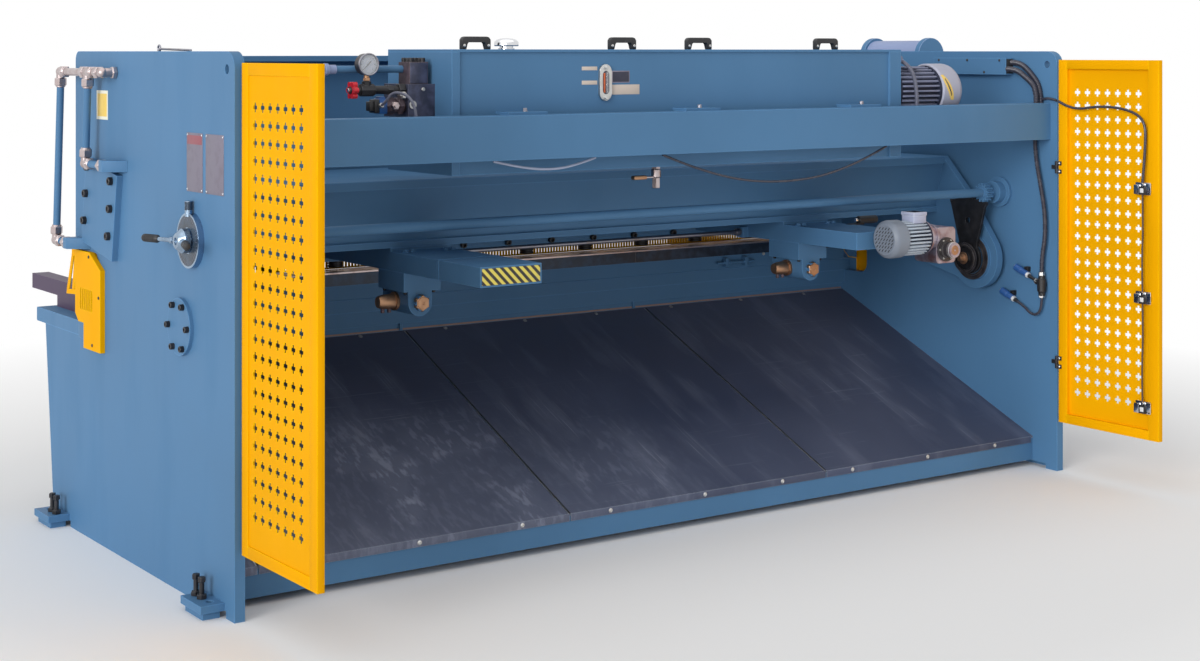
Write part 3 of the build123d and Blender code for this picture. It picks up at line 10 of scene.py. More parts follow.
import bmesh
import bpy
from mathutils import Matrix, Vector

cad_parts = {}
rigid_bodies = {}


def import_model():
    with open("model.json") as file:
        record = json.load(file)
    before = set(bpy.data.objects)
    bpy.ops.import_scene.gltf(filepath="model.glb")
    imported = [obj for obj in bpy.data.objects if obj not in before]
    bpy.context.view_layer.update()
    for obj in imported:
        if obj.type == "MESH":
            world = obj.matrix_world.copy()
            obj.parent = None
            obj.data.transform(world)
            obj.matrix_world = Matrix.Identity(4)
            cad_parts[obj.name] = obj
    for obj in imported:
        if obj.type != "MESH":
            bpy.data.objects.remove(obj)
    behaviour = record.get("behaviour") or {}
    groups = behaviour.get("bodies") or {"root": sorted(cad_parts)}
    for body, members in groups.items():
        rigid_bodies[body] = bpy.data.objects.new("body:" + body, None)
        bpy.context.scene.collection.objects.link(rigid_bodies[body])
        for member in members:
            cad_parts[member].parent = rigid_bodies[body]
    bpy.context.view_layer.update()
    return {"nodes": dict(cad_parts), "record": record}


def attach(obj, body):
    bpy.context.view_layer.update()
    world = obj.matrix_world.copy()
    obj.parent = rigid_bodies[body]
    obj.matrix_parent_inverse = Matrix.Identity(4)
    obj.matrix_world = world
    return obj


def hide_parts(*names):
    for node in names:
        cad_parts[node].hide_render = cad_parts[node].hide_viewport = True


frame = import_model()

LOG = logging.getLogger("shear")
MM = 0.001
FINE = 1e-6
REAR_Y = 760.0
OUTER_X = 1682.0
HALF_WIDTH = 1650.0
PIVOT = (365.0, 777.0)
RAIL_FACES = (("right", 882.0), ("left", -786.0))
SIDES = ((1, "right"), (-1, "left"))
SHARP = math.radians(32.0)
RIB_SHARP = math.radians(70.0)
RIB_SIDES = 12
GROOVE = 0.78
SEAM = 2e-5
EVEN = (1.0, 1.0, 1.0)
Triple = tuple[float, float, float]
Pair = tuple[float, float]
Seats = Sequence[tuple[Vector, Vector]]


class Way(Enum):
    """Directions of the shared frame."""

    RIGHT = (1.0, 0.0, 0.0)
    LEFT = (-1.0, 0.0, 0.0)
    REAR = (0.0, 1.0, 0.0)
    UP = (0.0, 0.0, 1.0)
    DOWN = (0.0, 0.0, -1.0)


RIGHT, LEFT, REAR, UP, DOWN = (Vector(way.value) for way in Way)


def at(x: float, depth: float, z: float) -> Vector:
    """Place in metres of a point given in millimetres.

    Args:
        x: place along the bed.
        depth: distance from the rear edge of the side frames towards the operator.
        z: height above the floor.

    Returns:
        The point in the shared frame.
    """
    return Vector((x, REAR_Y - depth, z)) * MM


def around(count: int) -> list[Vector]:
    """Evenly spaced directions round the X axis, from the rear upwards."""
    return [Vector((0.0, math.cos(a), math.sin(a))) for a in (math.tau * k / count for k in range(count))]


def link(name: str, data: Any) -> bpy.types.Object:
    """Put data into the scene as an object.

    Args:
        name: the object's name.
        data: its mesh, curve, lamp or camera.

    Returns:
        The object.
    """
    thing = bpy.data.objects.new(name, data)
    bpy.context.scene.collection.objects.link(thing)
    return thing


def plain(host: bpy.types.Object) -> bpy.types.Mesh:
    """Plain mesh of an object with its modifiers run."""
    bpy.context.view_layer.update()
    return bpy.data.meshes.new_from_object(host.evaluated_get(bpy.context.evaluated_depsgraph_get()))


def discard(thing: bpy.types.Object) -> None:
    """Remove a helper object and its data."""
    bpy.data.batch_remove([thing, thing.data])


class Sock:
    """A node's output on which sums are written as Python expressions."""

    def __init__(self, graph: "Nodes", socket: bpy.types.NodeSocket) -> None:
        """Keep the graph and the socket."""
        self.graph = graph
        self.socket = socket

    def _sum(self, operation: str, first: Any, second: Any) -> "Sock":
        """Add one Math node."""
        return self.graph.node("ShaderNodeMath", {0: first, 1: second}, operation=operation)

    def __add__(self, other: Any) -> "Sock":
        """This plus other."""
        return self._sum("ADD", self, other)

    def __radd__(self, other: Any) -> "Sock":
        """Other plus this."""
        return self._sum("ADD", other, self)

    def __sub__(self, other: Any) -> "Sock":
        """This less other."""
        return self._sum("SUBTRACT", self, other)

    def __rsub__(self, other: Any) -> "Sock":
        """Other less this."""
        return self._sum("SUBTRACT", other, self)

    def __mul__(self, other: Any) -> "Sock":
        """This times other."""
        return self._sum("MULTIPLY", self, other)

    def __mod__(self, other: Any) -> "Sock":
        """What is left of this after whole steps of other."""
        return self._sum("FLOORED_MODULO", self, other)

    def __gt__(self, other: Any) -> "Sock":
        """One where this is more than other."""
        return self._sum("GREATER_THAN", self, other)

    def __lt__(self, other: Any) -> "Sock":
        """One where this is less than other."""
        return self._sum("LESS_THAN", self, other)

    def __or__(self, other: Any) -> "Sock":
        """The larger of this and other."""
        return self._sum("MAXIMUM", self, other)


class Nodes:
    """A node tree of a material, of the surround or of Geometry Nodes."""

    def __init__(self, tree: bpy.types.NodeTree) -> None:
        """Keep the tree, emptied."""
        self.tree = tree
        tree.nodes.clear()

    def node(self, kind: str, sockets: Mapping[Any, Any] | None = None, out: Any = 0, **settings: Any) -> Sock:
        """Add a node.

        Args:
            kind: the node's type.
            sockets: values or links of its inputs, by name or number.
            out: the output that is wanted.
            settings: its own settings, set first.

        Returns:
            That output.
        """
        node = self.tree.nodes.new(kind)
        for name, value in settings.items():
            setattr(node, name, value)
        for key, value in (sockets or {}).items():
            if isinstance(key, str):
                key = next(i for i, socket in enumerate(node.inputs) if socket.name == key and socket.enabled)
            self.feed(node.inputs[key], value)
        return Sock(self, node.outputs[out])

    def feed(self, socket: bpy.types.NodeSocket, value: Any) -> None:
        """Link or set one input.

        Args:
            socket: the input.
            value: an output to link or a value to set.
        """
        if isinstance(value, Sock):
            self.tree.links.new(value.socket, socket)
        else:
            socket.default_value = value

    def between(self, value: Sock, low: float, high: float) -> Sock:
        """Zero below low, one above high."""
        return self.node("ShaderNodeMapRange", {"Value": value, "From Min": low, "From Max": high})


class Graph(Nodes):
    """A material's node tree and the few nodes that the finishes share."""

    def __init__(self, name: str) -> None:
        """Start a material with one Principled shader.

        Args:
            name: the material's name.
        """
        self.material = bpy.data.materials.new(name)
        self.material.use_nodes = True
        super().__init__(self.material.node_tree)
        self.shader = self.node("ShaderNodeBsdfPrincipled")
        self.surface = self.tree.nodes.new("ShaderNodeOutputMaterial").inputs[0]
        self.feed(self.surface, self.shader)

    def shade(self, **sockets: Any) -> bpy.types.Material:
        """Set the shader's sockets by name, with _ for a blank.

        Args:
            sockets: values or links.

        Returns:
            The finished material.
        """
        for name, value in sockets.items():
            if isinstance(value, tuple):
                value = (*value, 1.0)
            self.feed(self.shader.socket.node.inputs[name.replace("_", " ")], value)
        return self.material

    def where(self, stretch: Triple = EVEN) -> Sock:
        """Object coordinates, stretched along the axes."""
        place = self.node("ShaderNodeTexCoord", out="Object")
        return self.node("ShaderNodeVectorMath", {0: place, 1: stretch}, operation="MULTIPLY")

    def part_of(self, vector: Sock, axis: str) -> Sock:
        """One number of a vector."""
        return self.node("ShaderNodeSeparateXYZ", {0: vector}, axis)

    def noise(self, scale: float, detail: float = 3.0, stretch: Triple = EVEN) -> Sock:
        """Smooth noise of a scale per metre."""
        return self.node("ShaderNodeTexNoise", {"Vector": self.where(stretch), "Scale": scale, "Detail": detail})

    def mix(self, factor: Any, first: Any, second: Any) -> Sock:
        """Colour between first and second."""
        sides = [(*c, 1.0) if isinstance(c, tuple) else c for c in (first, second)]
        return self.node("ShaderNodeMix", {0: factor, 6: sides[0], 7: sides[1]}, 2, data_type="RGBA")

    def rounded(self, radius: float) -> Sock:
        """Normal of edges eased over a radius in metres."""
        return self.node("ShaderNodeBevel", {"Radius": radius}, samples=4)

    def edge(self, radius: float) -> Sock:
        """Mask that rises on edges over a radius in metres, for rubbed wear on metal and for a painted highlight on
        paint.

        Args:
            radius: width of the edge band.

        Returns:
            The mask.
        """
        sides = {0: self.rounded(radius), 1: self.node("ShaderNodeNewGeometry", out="Normal")}
        same = self.node("ShaderNodeVectorMath", sides, "Value", operation="DOT_PRODUCT")
        return self.between(1.0 - same, 0.02, 0.2)

    def bump(self, height: Sock, strength: float, distance: float, ease: float) -> Sock:
        """Normal raised by a height, over edges eased by a radius in metres."""
        sockets = {"Height": height, "Strength": strength, "Distance": distance, "Normal": self.rounded(ease)}
        return self.node("ShaderNodeBump", sockets)


def lit(colour: Triple, share: float) -> Triple:
    """Colour times a share."""
    return tuple(min(1.0, part * share) for part in colour)


@dataclass(frozen=True)
class Paint:
    """Sprayed enamel with orange peel, slow changes of tone, grime and painted highlights on its edges."""

    colour: Triple
    roughness: float = 0.5
    peel: float = 0.25
    grime: float = 0.5
    gloss: float = 0.2

    def make(self, name: str) -> bpy.types.Material:
        """Build the paint.

        Args:
            name: the material's name.

        Returns:
            The material.
        """
        graph = Graph(name)
        slow = graph.noise(1.7, 5.0)
        runs = graph.between(graph.noise(6.0, 5.0, (1.0, 1.0, 0.22)), 0.5, 0.78)
        speck = graph.between(graph.noise(95.0, 2.0), 0.66, 0.74)
        shade = graph.mix(graph.between(slow, 0.3, 0.7), lit(self.colour, 0.93), lit(self.colour, 1.06))
        shade = graph.mix(runs * (0.22 * self.grime), shade, lit(self.colour, 0.62))
        shade = graph.mix(speck * (0.2 * self.grime), shade, lit(self.colour, 0.7))
        # Painted highlight: edges lightened towards twice the paint's colour.
        shade = graph.mix(graph.edge(0.005) * 0.55, shade, lit(self.colour, 2.0))
        rough = self.roughness + runs * 0.12 + (slow - 0.5) * 0.15
        normal = graph.bump(graph.noise(330.0, 2.0), self.peel, 0.0003, 0.0022)
        return graph.shade(Base_Color=shade, Roughness=rough, Normal=normal, Specular_IOR_Level=self.gloss)


@dataclass(frozen=True)
class SlideSheet:
    """Dark mill-scale sheet, hazed and scratched by falling strips, with painted light that pales it towards +X, near
    its foot and towards its top.
    """

    dark: Triple = (0.036, 0.046, 0.090)
    mid: Triple = (0.068, 0.083, 0.142)
    # Pale colour of the smears and of the painted light.
    haze_and_light: Triple = (0.27, 0.30, 0.40)
    light_haze_span: Pair = (-0.2, 0.9)

    def make(self, name: str) -> bpy.types.Material:
        """Build the sheet.

        Args:
            name: the material's name.

        Returns:
            The material.
        """
        graph = Graph(name)
        cloud = graph.between(graph.noise(2.1, 6.0, (1.0, 0.6, 0.6)), 0.42, 0.72)
        smear = graph.between(graph.noise(9.0, 6.0, (1.0, 0.22, 0.22)), 0.52, 0.72)
        fall = graph.between(graph.noise(150.0, 3.0, (1.0, 0.02, 0.02)), 0.6, 0.7)
        skew = graph.between(graph.noise(120.0, 3.0, (0.03, 1.0, 1.0)), 0.64, 0.7)
        weave = graph.noise(420.0, 1.0)
        # Painted light mixed with haze: the sheet pales towards +X.
        dust = graph.between(graph.part_of(graph.where(), "X"), *self.light_haze_span)
        rise = graph.part_of(graph.where(), "Z")
        # Painted light: the sheet pales below a height of 0.26 to 0.42 m.
        lower = graph.between(0.0 - rise, -0.42, -0.26)
        patch = graph.between(graph.noise(3.4, 9.0, (1.0, 0.7, 0.7)), 0.50, 0.58)
        scrape = graph.between(graph.noise(46.0, 6.0, (1.0, 0.35, 0.35)), 0.50, 0.62)
        # Painted pool of light low on the +X side, with scrapes in it.
        light_pool_scrapes = dust * lower * (0.22 + patch * 0.16 + scrape * (0.12 + patch * 0.42))
        shade = graph.mix(cloud * 0.8, self.dark, self.mid)
        # Smears give real haze; the pool, the lift towards the top under the beam and the lift at the foot are painted
        # light.
        shade = graph.mix(smear * 0.2 + light_pool_scrapes + graph.between(rise, 0.30, 0.58) * 0.3 + lower * 0.08, shade, self.haze_and_light)
        shade = graph.mix(fall * smear * 0.5, shade, (0.34, 0.37, 0.44))
        shade = graph.mix(skew * cloud * 0.35, shade, (0.26, 0.29, 0.36))
        shade = graph.mix(graph.edge(0.004) * 0.8, shade, (0.40, 0.45, 0.53))
        normal = graph.bump(weave + fall * 0.4, 0.2, 0.0004, 0.0015)
        rough = 0.40 + cloud * 0.14 + weave * 0.1
        return graph.shade(Base_Color=shade, Roughness=rough, Normal=normal, Specular_IOR_Level=0.3)


@dataclass(frozen=True)
class Steel:
    """Bare metal, brushed along one axis, with stains."""

    colour: Triple
    roughness: float = 0.3
    brush: Triple = (0.04, 1.0, 1.0)
    stain: Triple = (0.20, 0.17, 0.14)
    stained: float = 0.2

    def make(self, name: str) -> bpy.types.Material:
        """Build the metal.

        Args:
            name: the material's name.

        Returns:
            The material.
        """
        graph = Graph(name)
        hair = graph.noise(900.0, 2.0, self.brush)
        patch = graph.between(graph.noise(22.0, 5.0), 0.48, 0.75)
        shade = graph.mix(hair, lit(self.colour, 0.86), lit(self.colour, 1.08))
        shade = graph.mix(patch * self.stained, shade, self.stain)
        shade = graph.mix(graph.edge(0.0012) * 0.4, shade, lit(self.colour, 1.5))
        rough = self.roughness + hair * 0.1 + patch * 0.14
        return graph.shade(
            Base_Color=shade, Metallic=1.0, Roughness=rough, Normal=graph.bump(hair, 0.12, 0.0002, 0.0008)
        )


@dataclass(frozen=True)
class DarkSteel:
    """Oiled black steel whose edges are rubbed brighter."""

    colour: Triple = (0.018, 0.018, 0.021)
    rub: Triple = (0.16, 0.16, 0.17)
    roughness: float = 0.38

    def make(self, name: str) -> bpy.types.Material:
        """Build the steel.

        Args:
            name: the material's name.

        Returns:
            The material.
        """
        graph = Graph(name)
        oil = graph.between(graph.noise(30.0, 5.0), 0.4, 0.7)
        shade = graph.mix(oil, lit(self.colour, 0.75), lit(self.colour, 1.7))
        shade = graph.mix(graph.edge(0.0018) * 0.65, shade, self.rub)
        normal = graph.bump(graph.noise(500.0, 2.0), 0.15, 0.0003, 0.0012)
        return graph.shade(Base_Color=shade, Metallic=0.35, Roughness=self.roughness + oil * 0.15, Normal=normal)


@dataclass(frozen=True)
class Moulded:
    """Moulded plastic, rubber or smooth coating with a fine grain."""

    colour: Triple
    roughness: float = 0.45
    grain: float = 0.2

    def make(self, name: str) -> bpy.types.Material:
        """Build the plastic.

        Args:
            name: the material's name.

        Returns:
            The material.
        """
        graph = Graph(name)
        dust = graph.between(graph.noise(38.0, 4.0), 0.45, 0.8)
        shade = graph.mix(dust * 0.25, self.colour, tuple(0.7 * part + 0.06 for part in self.colour))
        normal = graph.bump(graph.noise(700.0, 2.0), self.grain, 0.0003, 0.0006)
        return graph.shade(Base_Color=shade, Roughness=self.roughness + dust * 0.12, Normal=normal)


@dataclass(frozen=True)
class Cast:
    """Cast metal with a sandy skin."""

    colour: Triple
    tint: Triple
    metal: float = 0.8
    roughness: float = 0.45

    def make(self, name: str) -> bpy.types.Material:
        """Build the casting.

        Args:
            name: the material's name.

        Returns:
            The material.
        """
        graph = Graph(name)
        sand = graph.noise(420.0, 4.0)
        shade = graph.mix(graph.between(graph.noise(26.0, 5.0), 0.42, 0.68), self.colour, self.tint)
        shade = graph.mix(graph.edge(0.0015) * 0.4, shade, lit(self.colour, 1.4))
        normal = graph.bump(sand, 0.45, 0.0006, 0.0012)
        return graph.shade(Base_Color=shade, Metallic=self.metal, Roughness=self.roughness + sand * 0.15, Normal=normal)


@dataclass(frozen=True)
class Striped:
    """Slanting bands of two colours on an upright face."""

    light: Triple = (0.78, 0.66, 0.12)
    dark: Triple = (0.030, 0.025, 0.025)
    pitch: float = 0.0275

    def make(self, name: str) -> bpy.types.Material:
        """Build the bands.

        Args:
            name: the material's name.

        Returns:
            The material.
        """
        graph = Graph(name)
        place = graph.where()
        slant = graph.part_of(place, "X") - graph.part_of(place, "Z")
        rub = graph.between(graph.noise(60.0, 4.0), 0.55, 0.75)
        shade = graph.mix((slant % self.pitch) > self.pitch * 0.5, self.light, self.dark)
        shade = graph.mix(rub * 0.3, shade, (0.35, 0.33, 0.25))
        return graph.shade(Base_Color=shade, Roughness=0.45 + rub * 0.2)


@dataclass(frozen=True)
class Clear:
    """Clear glass or plastic cover."""

    tint: Triple = (0.95, 0.97, 0.98)

    def make(self, name: str) -> bpy.types.Material:
        """Build the cover.

        Args:
            name: the material's name.

        Returns:
            The material.
        """
        graph = Graph(name)
        film = graph.between(graph.noise(70.0, 4.0), 0.4, 0.8)
        rough, veil = 0.04 + film * 0.06, 0.16 + film * 0.08
        return graph.shade(Base_Color=self.tint, Roughness=rough, Alpha=veil, Specular_IOR_Level=0.7)


FINISHES: dict[str, Any] = {
    "blue_enamel": Paint((0.078, 0.190, 0.345)),
    "yellow_enamel": Paint((0.84, 0.385, 0.0008), 0.5, 0.2, 0.16, 0.03),
    "drum_grey": Paint((0.27, 0.33, 0.52), 0.45),
    "fan_cover_grey": Paint((0.40, 0.41, 0.50), 0.5, 0.3, 1.0),
    "motor_grey": Paint((0.20, 0.22, 0.32), 0.45, 0.3, 0.8),
    "motor_light": Paint((0.42, 0.48, 0.57), 0.42, 0.3, 0.4),
    # Painted shade: near-black paint for motor cores seen between the fins.
    "fin_gap_shade": Paint((0.020, 0.024, 0.045), 0.6),
    "motor_end": Paint((0.20, 0.23, 0.28), 0.4, 0.3, 0.6, 0.4),
    "box_silver": Paint((0.44, 0.47, 0.62), 0.35, 0.2, 0.3, 0.4),
    "arm_brown": Paint((0.060, 0.038, 0.078), 0.45),
    "slide_sheet": SlideSheet(),
    "bright_steel": Steel((0.52, 0.53, 0.55)),
    "blade_steel": Steel((0.24, 0.25, 0.31), 0.2, stained=0.35),
    "blade_face": DarkSteel((0.020, 0.034, 0.060), (0.30, 0.26, 0.28), 0.3),
    "worn_edge": Steel((0.62, 0.52, 0.50), 0.3, EVEN, (0.30, 0.16, 0.12), 0.6),
    "shaft_steel": Steel((0.30, 0.30, 0.34), 0.3, (0.04, 1.0, 1.0), (0.20, 0.14, 0.10), 0.5),
    "chrome": Steel((0.72, 0.73, 0.75), 0.12, (1.0, 1.0, 0.05), stained=0.08),
    "zinc": Steel((0.56, 0.56, 0.55), 0.32, EVEN, (0.42, 0.33, 0.24), 0.35),
    "nickel_fitting": Steel((0.52, 0.45, 0.45), 0.26, EVEN, (0.30, 0.17, 0.14), 0.6),
    "bronze": Steel((0.47, 0.27, 0.16), 0.36, EVEN, (0.16, 0.09, 0.06), 0.5),
    "black_steel": DarkSteel(),
    "dark_block": DarkSteel((0.060, 0.066, 0.110), (0.24, 0.25, 0.32), 0.42),
    "brown_block": DarkSteel((0.082, 0.058, 0.072), (0.26, 0.21, 0.22), 0.45),
    "ring_steel": DarkSteel((0.040, 0.036, 0.040), (0.20, 0.18, 0.17), 0.34),
    "gear_cast": Cast((0.42, 0.38, 0.45), (0.24, 0.14, 0.15), 0.85, 0.34),
    "black_plastic": Moulded((0.014, 0.014, 0.016)),
    "conduit_skin": Moulded((0.040, 0.040, 0.058), 0.24, 0.1),
    "red_plastic": Moulded((0.62, 0.012, 0.028), 0.3),
    "switch_blue": Moulded((0.022, 0.095, 0.30), 0.32),
    "white_plastic": Moulded((0.70, 0.71, 0.72), 0.4),
    "grey_cable": Moulded((0.36, 0.41, 0.55), 0.4),
    "lilac_lead": Moulded((0.115, 0.12, 0.165), 0.3, 0.1),
    "brown_lead": Moulded((0.075, 0.045, 0.035), 0.5),
    "rust_strip": Moulded((0.30, 0.20, 0.17), 0.6, 0.1),
    "pale_label": Moulded((0.60, 0.51, 0.44), 0.55, 0.05),
    "dark_label": Moulded((0.020, 0.021, 0.045), 0.4, 0.05),
    "plate_alloy": Steel((0.27, 0.25, 0.31), 0.45, (1.0, 0.05, 1.0), (0.20, 0.16, 0.19), 0.4),
    "dial_steel": Steel((0.32, 0.42, 0.54), 0.16, EVEN, (0.10, 0.14, 0.20), 0.5),
    "dial_dark": DarkSteel((0.030, 0.048, 0.074), (0.22, 0.28, 0.36), 0.2),
    "plate_band": Moulded((0.26, 0.075, 0.095), 0.45, 0.05),
    "white_label": Moulded((0.80, 0.78, 0.66), 0.5, 0.05),
    "yellow_label": Moulded((0.80, 0.56, 0.13), 0.5, 0.05),
    "gauge_white": Moulded((0.36, 0.40, 0.50), 0.4, 0.05),
    "hazard": Striped(),
    "clear_cover": Clear(),
    # Painted shade: near-black for openings, slots, recesses and gaps that show only shade.
    "hole_shade": Moulded((0.010, 0.011, 0.014), 0.8),
    "orange_line": Moulded((0.55, 0.10, 0.02), 0.4),
}
# Slots whose finish has another name than the slot.
SLOT_FINISH = {
    "blue_paint": "blue_enamel",
    "yellow_paint": "yellow_enamel",
    "slide_steel": "slide_sheet",
    "grey_paint": "drum_grey",
    "sight_plastic": "white_plastic",
}
# CAD nodes whose finish differs from that of their slot.
NODE_FINISH = {
    "gauge_carriage_right": "blue_enamel",
    "gauge_carriage_left": "blue_enamel",
    "gap_dial": "dial_steel",
    "pipe_fittings": "nickel_fitting",
    "gauge_shutoff": "black_steel",
    "valve_block": "brown_block",
    "support_arms": "arm_brown",
    "hold_down_pads": "black_plastic",
    "lower_blade": "blade_face",
    "pressure_gauge": "ring_steel",
    "cross_shaft": "shaft_steel",
    "hinge_leaves": "black_steel",
}
finishes: dict[str, bpy.types.Material] = {}


def finish_of(slot: str) -> str:
    """Name of a slot's usual finish."""
    return SLOT_FINISH.get(slot, slot)


def place(
    data: bpy.types.Mesh, name: str, slot: str, finish: str = "", nodes: Sequence[str] = (), body: str = "frame"
) -> bpy.types.Object:
    """Put a finished mesh into the scene as a piece.

    Args:
        data: mesh with its place in its points.
        name: the piece's name.
        slot: record's material slot; not used.
        finish: name of the finish, or nothing where the mesh has one already.
        nodes: CAD nodes that it stands for.
        body: CAD body that carries it.

    Returns:
        The piece.
    """
    piece = link(name, data)
    data.name = name
    if finish:
        data.materials.clear()
        data.materials.append(finishes[finish])
    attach(piece, body)
    if nodes:
        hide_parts(*nodes)
    LOG.info("%s on %s, %d faces", name, body, len(data.polygons))
    return piece


class Shape:
    """Blocks, turned forms, plates and tubes gathered into one mesh; sizes in millimetres, points in metres."""

    def __init__(self) -> None:
        """Start with an empty mesh."""
        self.mesh = bmesh.new()

    def _gather(self, part: bmesh.types.BMesh, bevel: float = 0.0) -> "Shape":
        """Bevel one closed form, turn its faces outwards and take it in.

        Args:
            part: the form, which is used up.
            bevel: width of the eased edges.

        Returns:
            This shape.
        """
        if bevel > 0.0:
            bmesh.ops.bevel(
                part, geom=part.edges[:], offset=bevel * MM, segments=2, affect="EDGES", profile=0.5, clamp_overlap=True
            )
        bmesh.ops.recalc_face_normals(part, faces=part.faces[:])
        scratch = bpy.data.meshes.new("scratch")
        part.to_mesh(scratch)
        part.free()
        self.mesh.from_mesh(scratch)
        bpy.data.meshes.remove(scratch)
        return self

    @staticmethod
    def _round(
        part: bmesh.types.BMesh,
        middle: Vector,
        side: Vector,
        other: Vector,
        radius: float,
        sides: int,
        spin: float = 0.0,
    ) -> list[bmesh.types.BMVert]:
        """Corners of one round, or one point where it has no radius.

        Args:
            part: form that takes the corners.
            middle: centre of the round.
            side: direction of its first corner.
            other: direction a quarter turn on.
            radius: its radius.
            sides: corners around.
            spin: turn of the first corner in degrees.

        Returns:
            The corners.
        """
        angles = [math.radians(spin) + math.tau * k / sides for k in range(sides if radius > FINE else 1)]
        return [part.verts.new(middle + (side * math.cos(a) + other * math.sin(a)) * radius * MM) for a in angles]

    @staticmethod
    def _skin(part: bmesh.types.BMesh, rings: Sequence[Sequence[bmesh.types.BMVert]]) -> None:
        """Join each ring of corners to the next.

        Args:
            part: form that holds the rings.
            rings: the rings, of which one may be a single point.
        """
        for low, high in zip(rings, rings[1:]):
            for index in range(max(len(low), len(high))):
                pairs = ((low, index), (low, index + 1), (high, index + 1), (high, index))
                corners = dict.fromkeys(ring[k % len(ring)] for ring, k in pairs)
                if len(corners) > 2:
                    part.faces.new(tuple(corners))

    def block(self, x: Pair, depth: Pair, z: Pair, bevel: float = 1.0) -> "Shape":
        """Add a block between spans of X, depth and Z.

        Args:
            x: its span along the bed.
            depth: its span of depth.
            z: its span of height.
            bevel: width of the eased edges.

        Returns:
            This shape.
        """
        low, high = at(min(x), max(depth), min(z)), at(max(x), min(depth), max(z))
        part = bmesh.new()
        size = Matrix.Diagonal((*(high - low), 1.0))
        bmesh.ops.create_cube(part, size=1.0, matrix=Matrix.Translation((low + high) / 2) @ size)
        return self._gather(part, bevel)

    def prism(self, outline: Sequence[Vector], push: Vector, bevel: float = 0.0) -> "Shape":
        """Add a flat outline pushed along a vector.

        Args:
            outline: its corners.
            push: way and height of the push, in metres.
            bevel: width of the eased edges.

        Returns:
            This shape.
        """
        part = bmesh.new()
        ends = [[part.verts.new(point + shift) for point in outline] for shift in (Vector(), push)]
        self._skin(part, ends)
        for end in ends:
            part.faces.new(end)
        return self._gather(part, bevel)

    def dash(
        self, middle: Vector, way: Vector, normal: Vector, span: Pair, half: float, height: float, bevel: float = 0.0
    ) -> "Shape":
        """Add a straight bar that points away from an axis, such as a fin or a mark.

        Args:
            middle: point of the axis.
            way: direction from the axis.
            normal: direction of the axis.
            span: distances of its ends from the axis.
            half: half its width.
            height: its height along the axis.
            bevel: width of the eased edges.

        Returns:
            This shape.
        """
        side = way.cross(normal) * half * MM
        near, far = (middle + way * reach * MM for reach in span)
        return self.prism([near - side, far - side, far + side, near + side], normal * height * MM, bevel)

    def lathe(
        self,
        origin: Vector,
        way: Vector,
        profile: Iterable[Pair],
        sides: int = 24,
        spin: float = 0.0,
        solid: bool = True,
    ) -> "Shape":
        """Add a turned form.

        Args:
            origin: start of its axis.
            way: direction of its axis.
            profile: (distance along the axis, radius) steps.
            sides: corners around.
            spin: turn about the axis in degrees.
            solid: whether flat ends close the profile.

        Returns:
            This shape.
        """
        side, other, axis = way.to_track_quat("Z", "Y").to_matrix().transposed()
        steps = list(profile)
        if solid and steps[0][1] > FINE:
            steps.insert(0, (steps[0][0], 0.0))
        if solid and steps[-1][1] > FINE:
            steps.append((steps[-1][0], 0.0))
        part = bmesh.new()
        rings = [self._round(part, origin + axis * x * MM, side, other, radius, sides, spin) for x, radius in steps]
        self._skin(part, rings)
        return self._gather(part)

    def rod(
        self, start: Vector, end: Vector, radius: float, sides: int = 20, chamfer: float = 0.8, spin: float = 0.0
    ) -> "Shape":
        """Add a round or many-sided bar between two points.

        Args:
            start: one end.
            end: the other end.
            radius: radius of its corners.
            sides: corners around.
            chamfer: width of the eased ends.
            spin: turn about its axis in degrees.

        Returns:
            This shape.
        """
        length = (end - start).length / MM
        ease = min(chamfer, 0.4 * radius, 0.4 * length)
        profile = [(0.0, radius - ease), (ease, radius), (length - ease, radius), (length, radius - ease)]
        return self.lathe(start, end - start, profile, sides, spin)

    def bar(self, x: Any, depth: Any, z: Any, radius: float, *shape: float) -> "Shape":
        """Add a rod along one axis, given as a span there and as single places on the other two.

        Args:
            x: place or span along the bed.
            depth: place or span of depth.
            z: place or span of height.
            radius: radius of its corners.
            shape: sides, chamfer and spin, as in a rod.

        Returns:
            This shape.
        """
        start, end = (at(*(v[k] if isinstance(v, tuple) else v for v in (x, depth, z))) for k in (0, 1))
        return self.rod(start, end, radius, *shape)

    def hoop(self, origin: Vector, way: Vector, profile: Sequence[Pair], sides: int = 48) -> "Shape":
        """Add a turned form with a hole, whose profile closes on itself.

        Args:
            origin: start of its axis.
            way: direction of its axis.
            profile: (distance along the axis, radius) steps.
            sides: corners around.

        Returns:
            This shape.
        """
        turn = Shape().lathe(origin, way, [*profile, profile[0]], sides, solid=False).mesh
        bmesh.ops.remove_doubles(turn, verts=turn.verts[:], dist=FINE)
        return self._gather(turn)

    def ring(self, origin: Vector, way: Vector, inner: float, outer: float, height: float, sides: int = 24) -> "Shape":
        """Add a flat ring between two radii."""
        return self.hoop(origin, way, [(0.0, inner), (0.0, outer), (height, outer), (height, inner)], sides)

    def tube(self, path: Sequence[Vector], radius: float, sides: int = 10) -> "Shape":
        """Add a round tube.

        Args:
            path: its centre line.
            radius: its radius.
            sides: corners around.

        Returns:
            This shape.
        """
        part = bmesh.new()
        ways = [(b - a).normalized() for a, b in zip(path, path[1:])]
        side = ways[0].orthogonal().normalized()
        rings = []
        for index, point in enumerate(path):
            way = (ways[min(index, len(ways) - 1)] + ways[max(index - 1, 0)]).normalized()
            side = (side - way * side.dot(way)).normalized()
            rings.append(self._round(part, point, side, way.cross(side), radius, sides))
        self._skin(part, rings)
        for end in (rings[0], rings[-1]):
            part.faces.new(end)
        return self._gather(part)

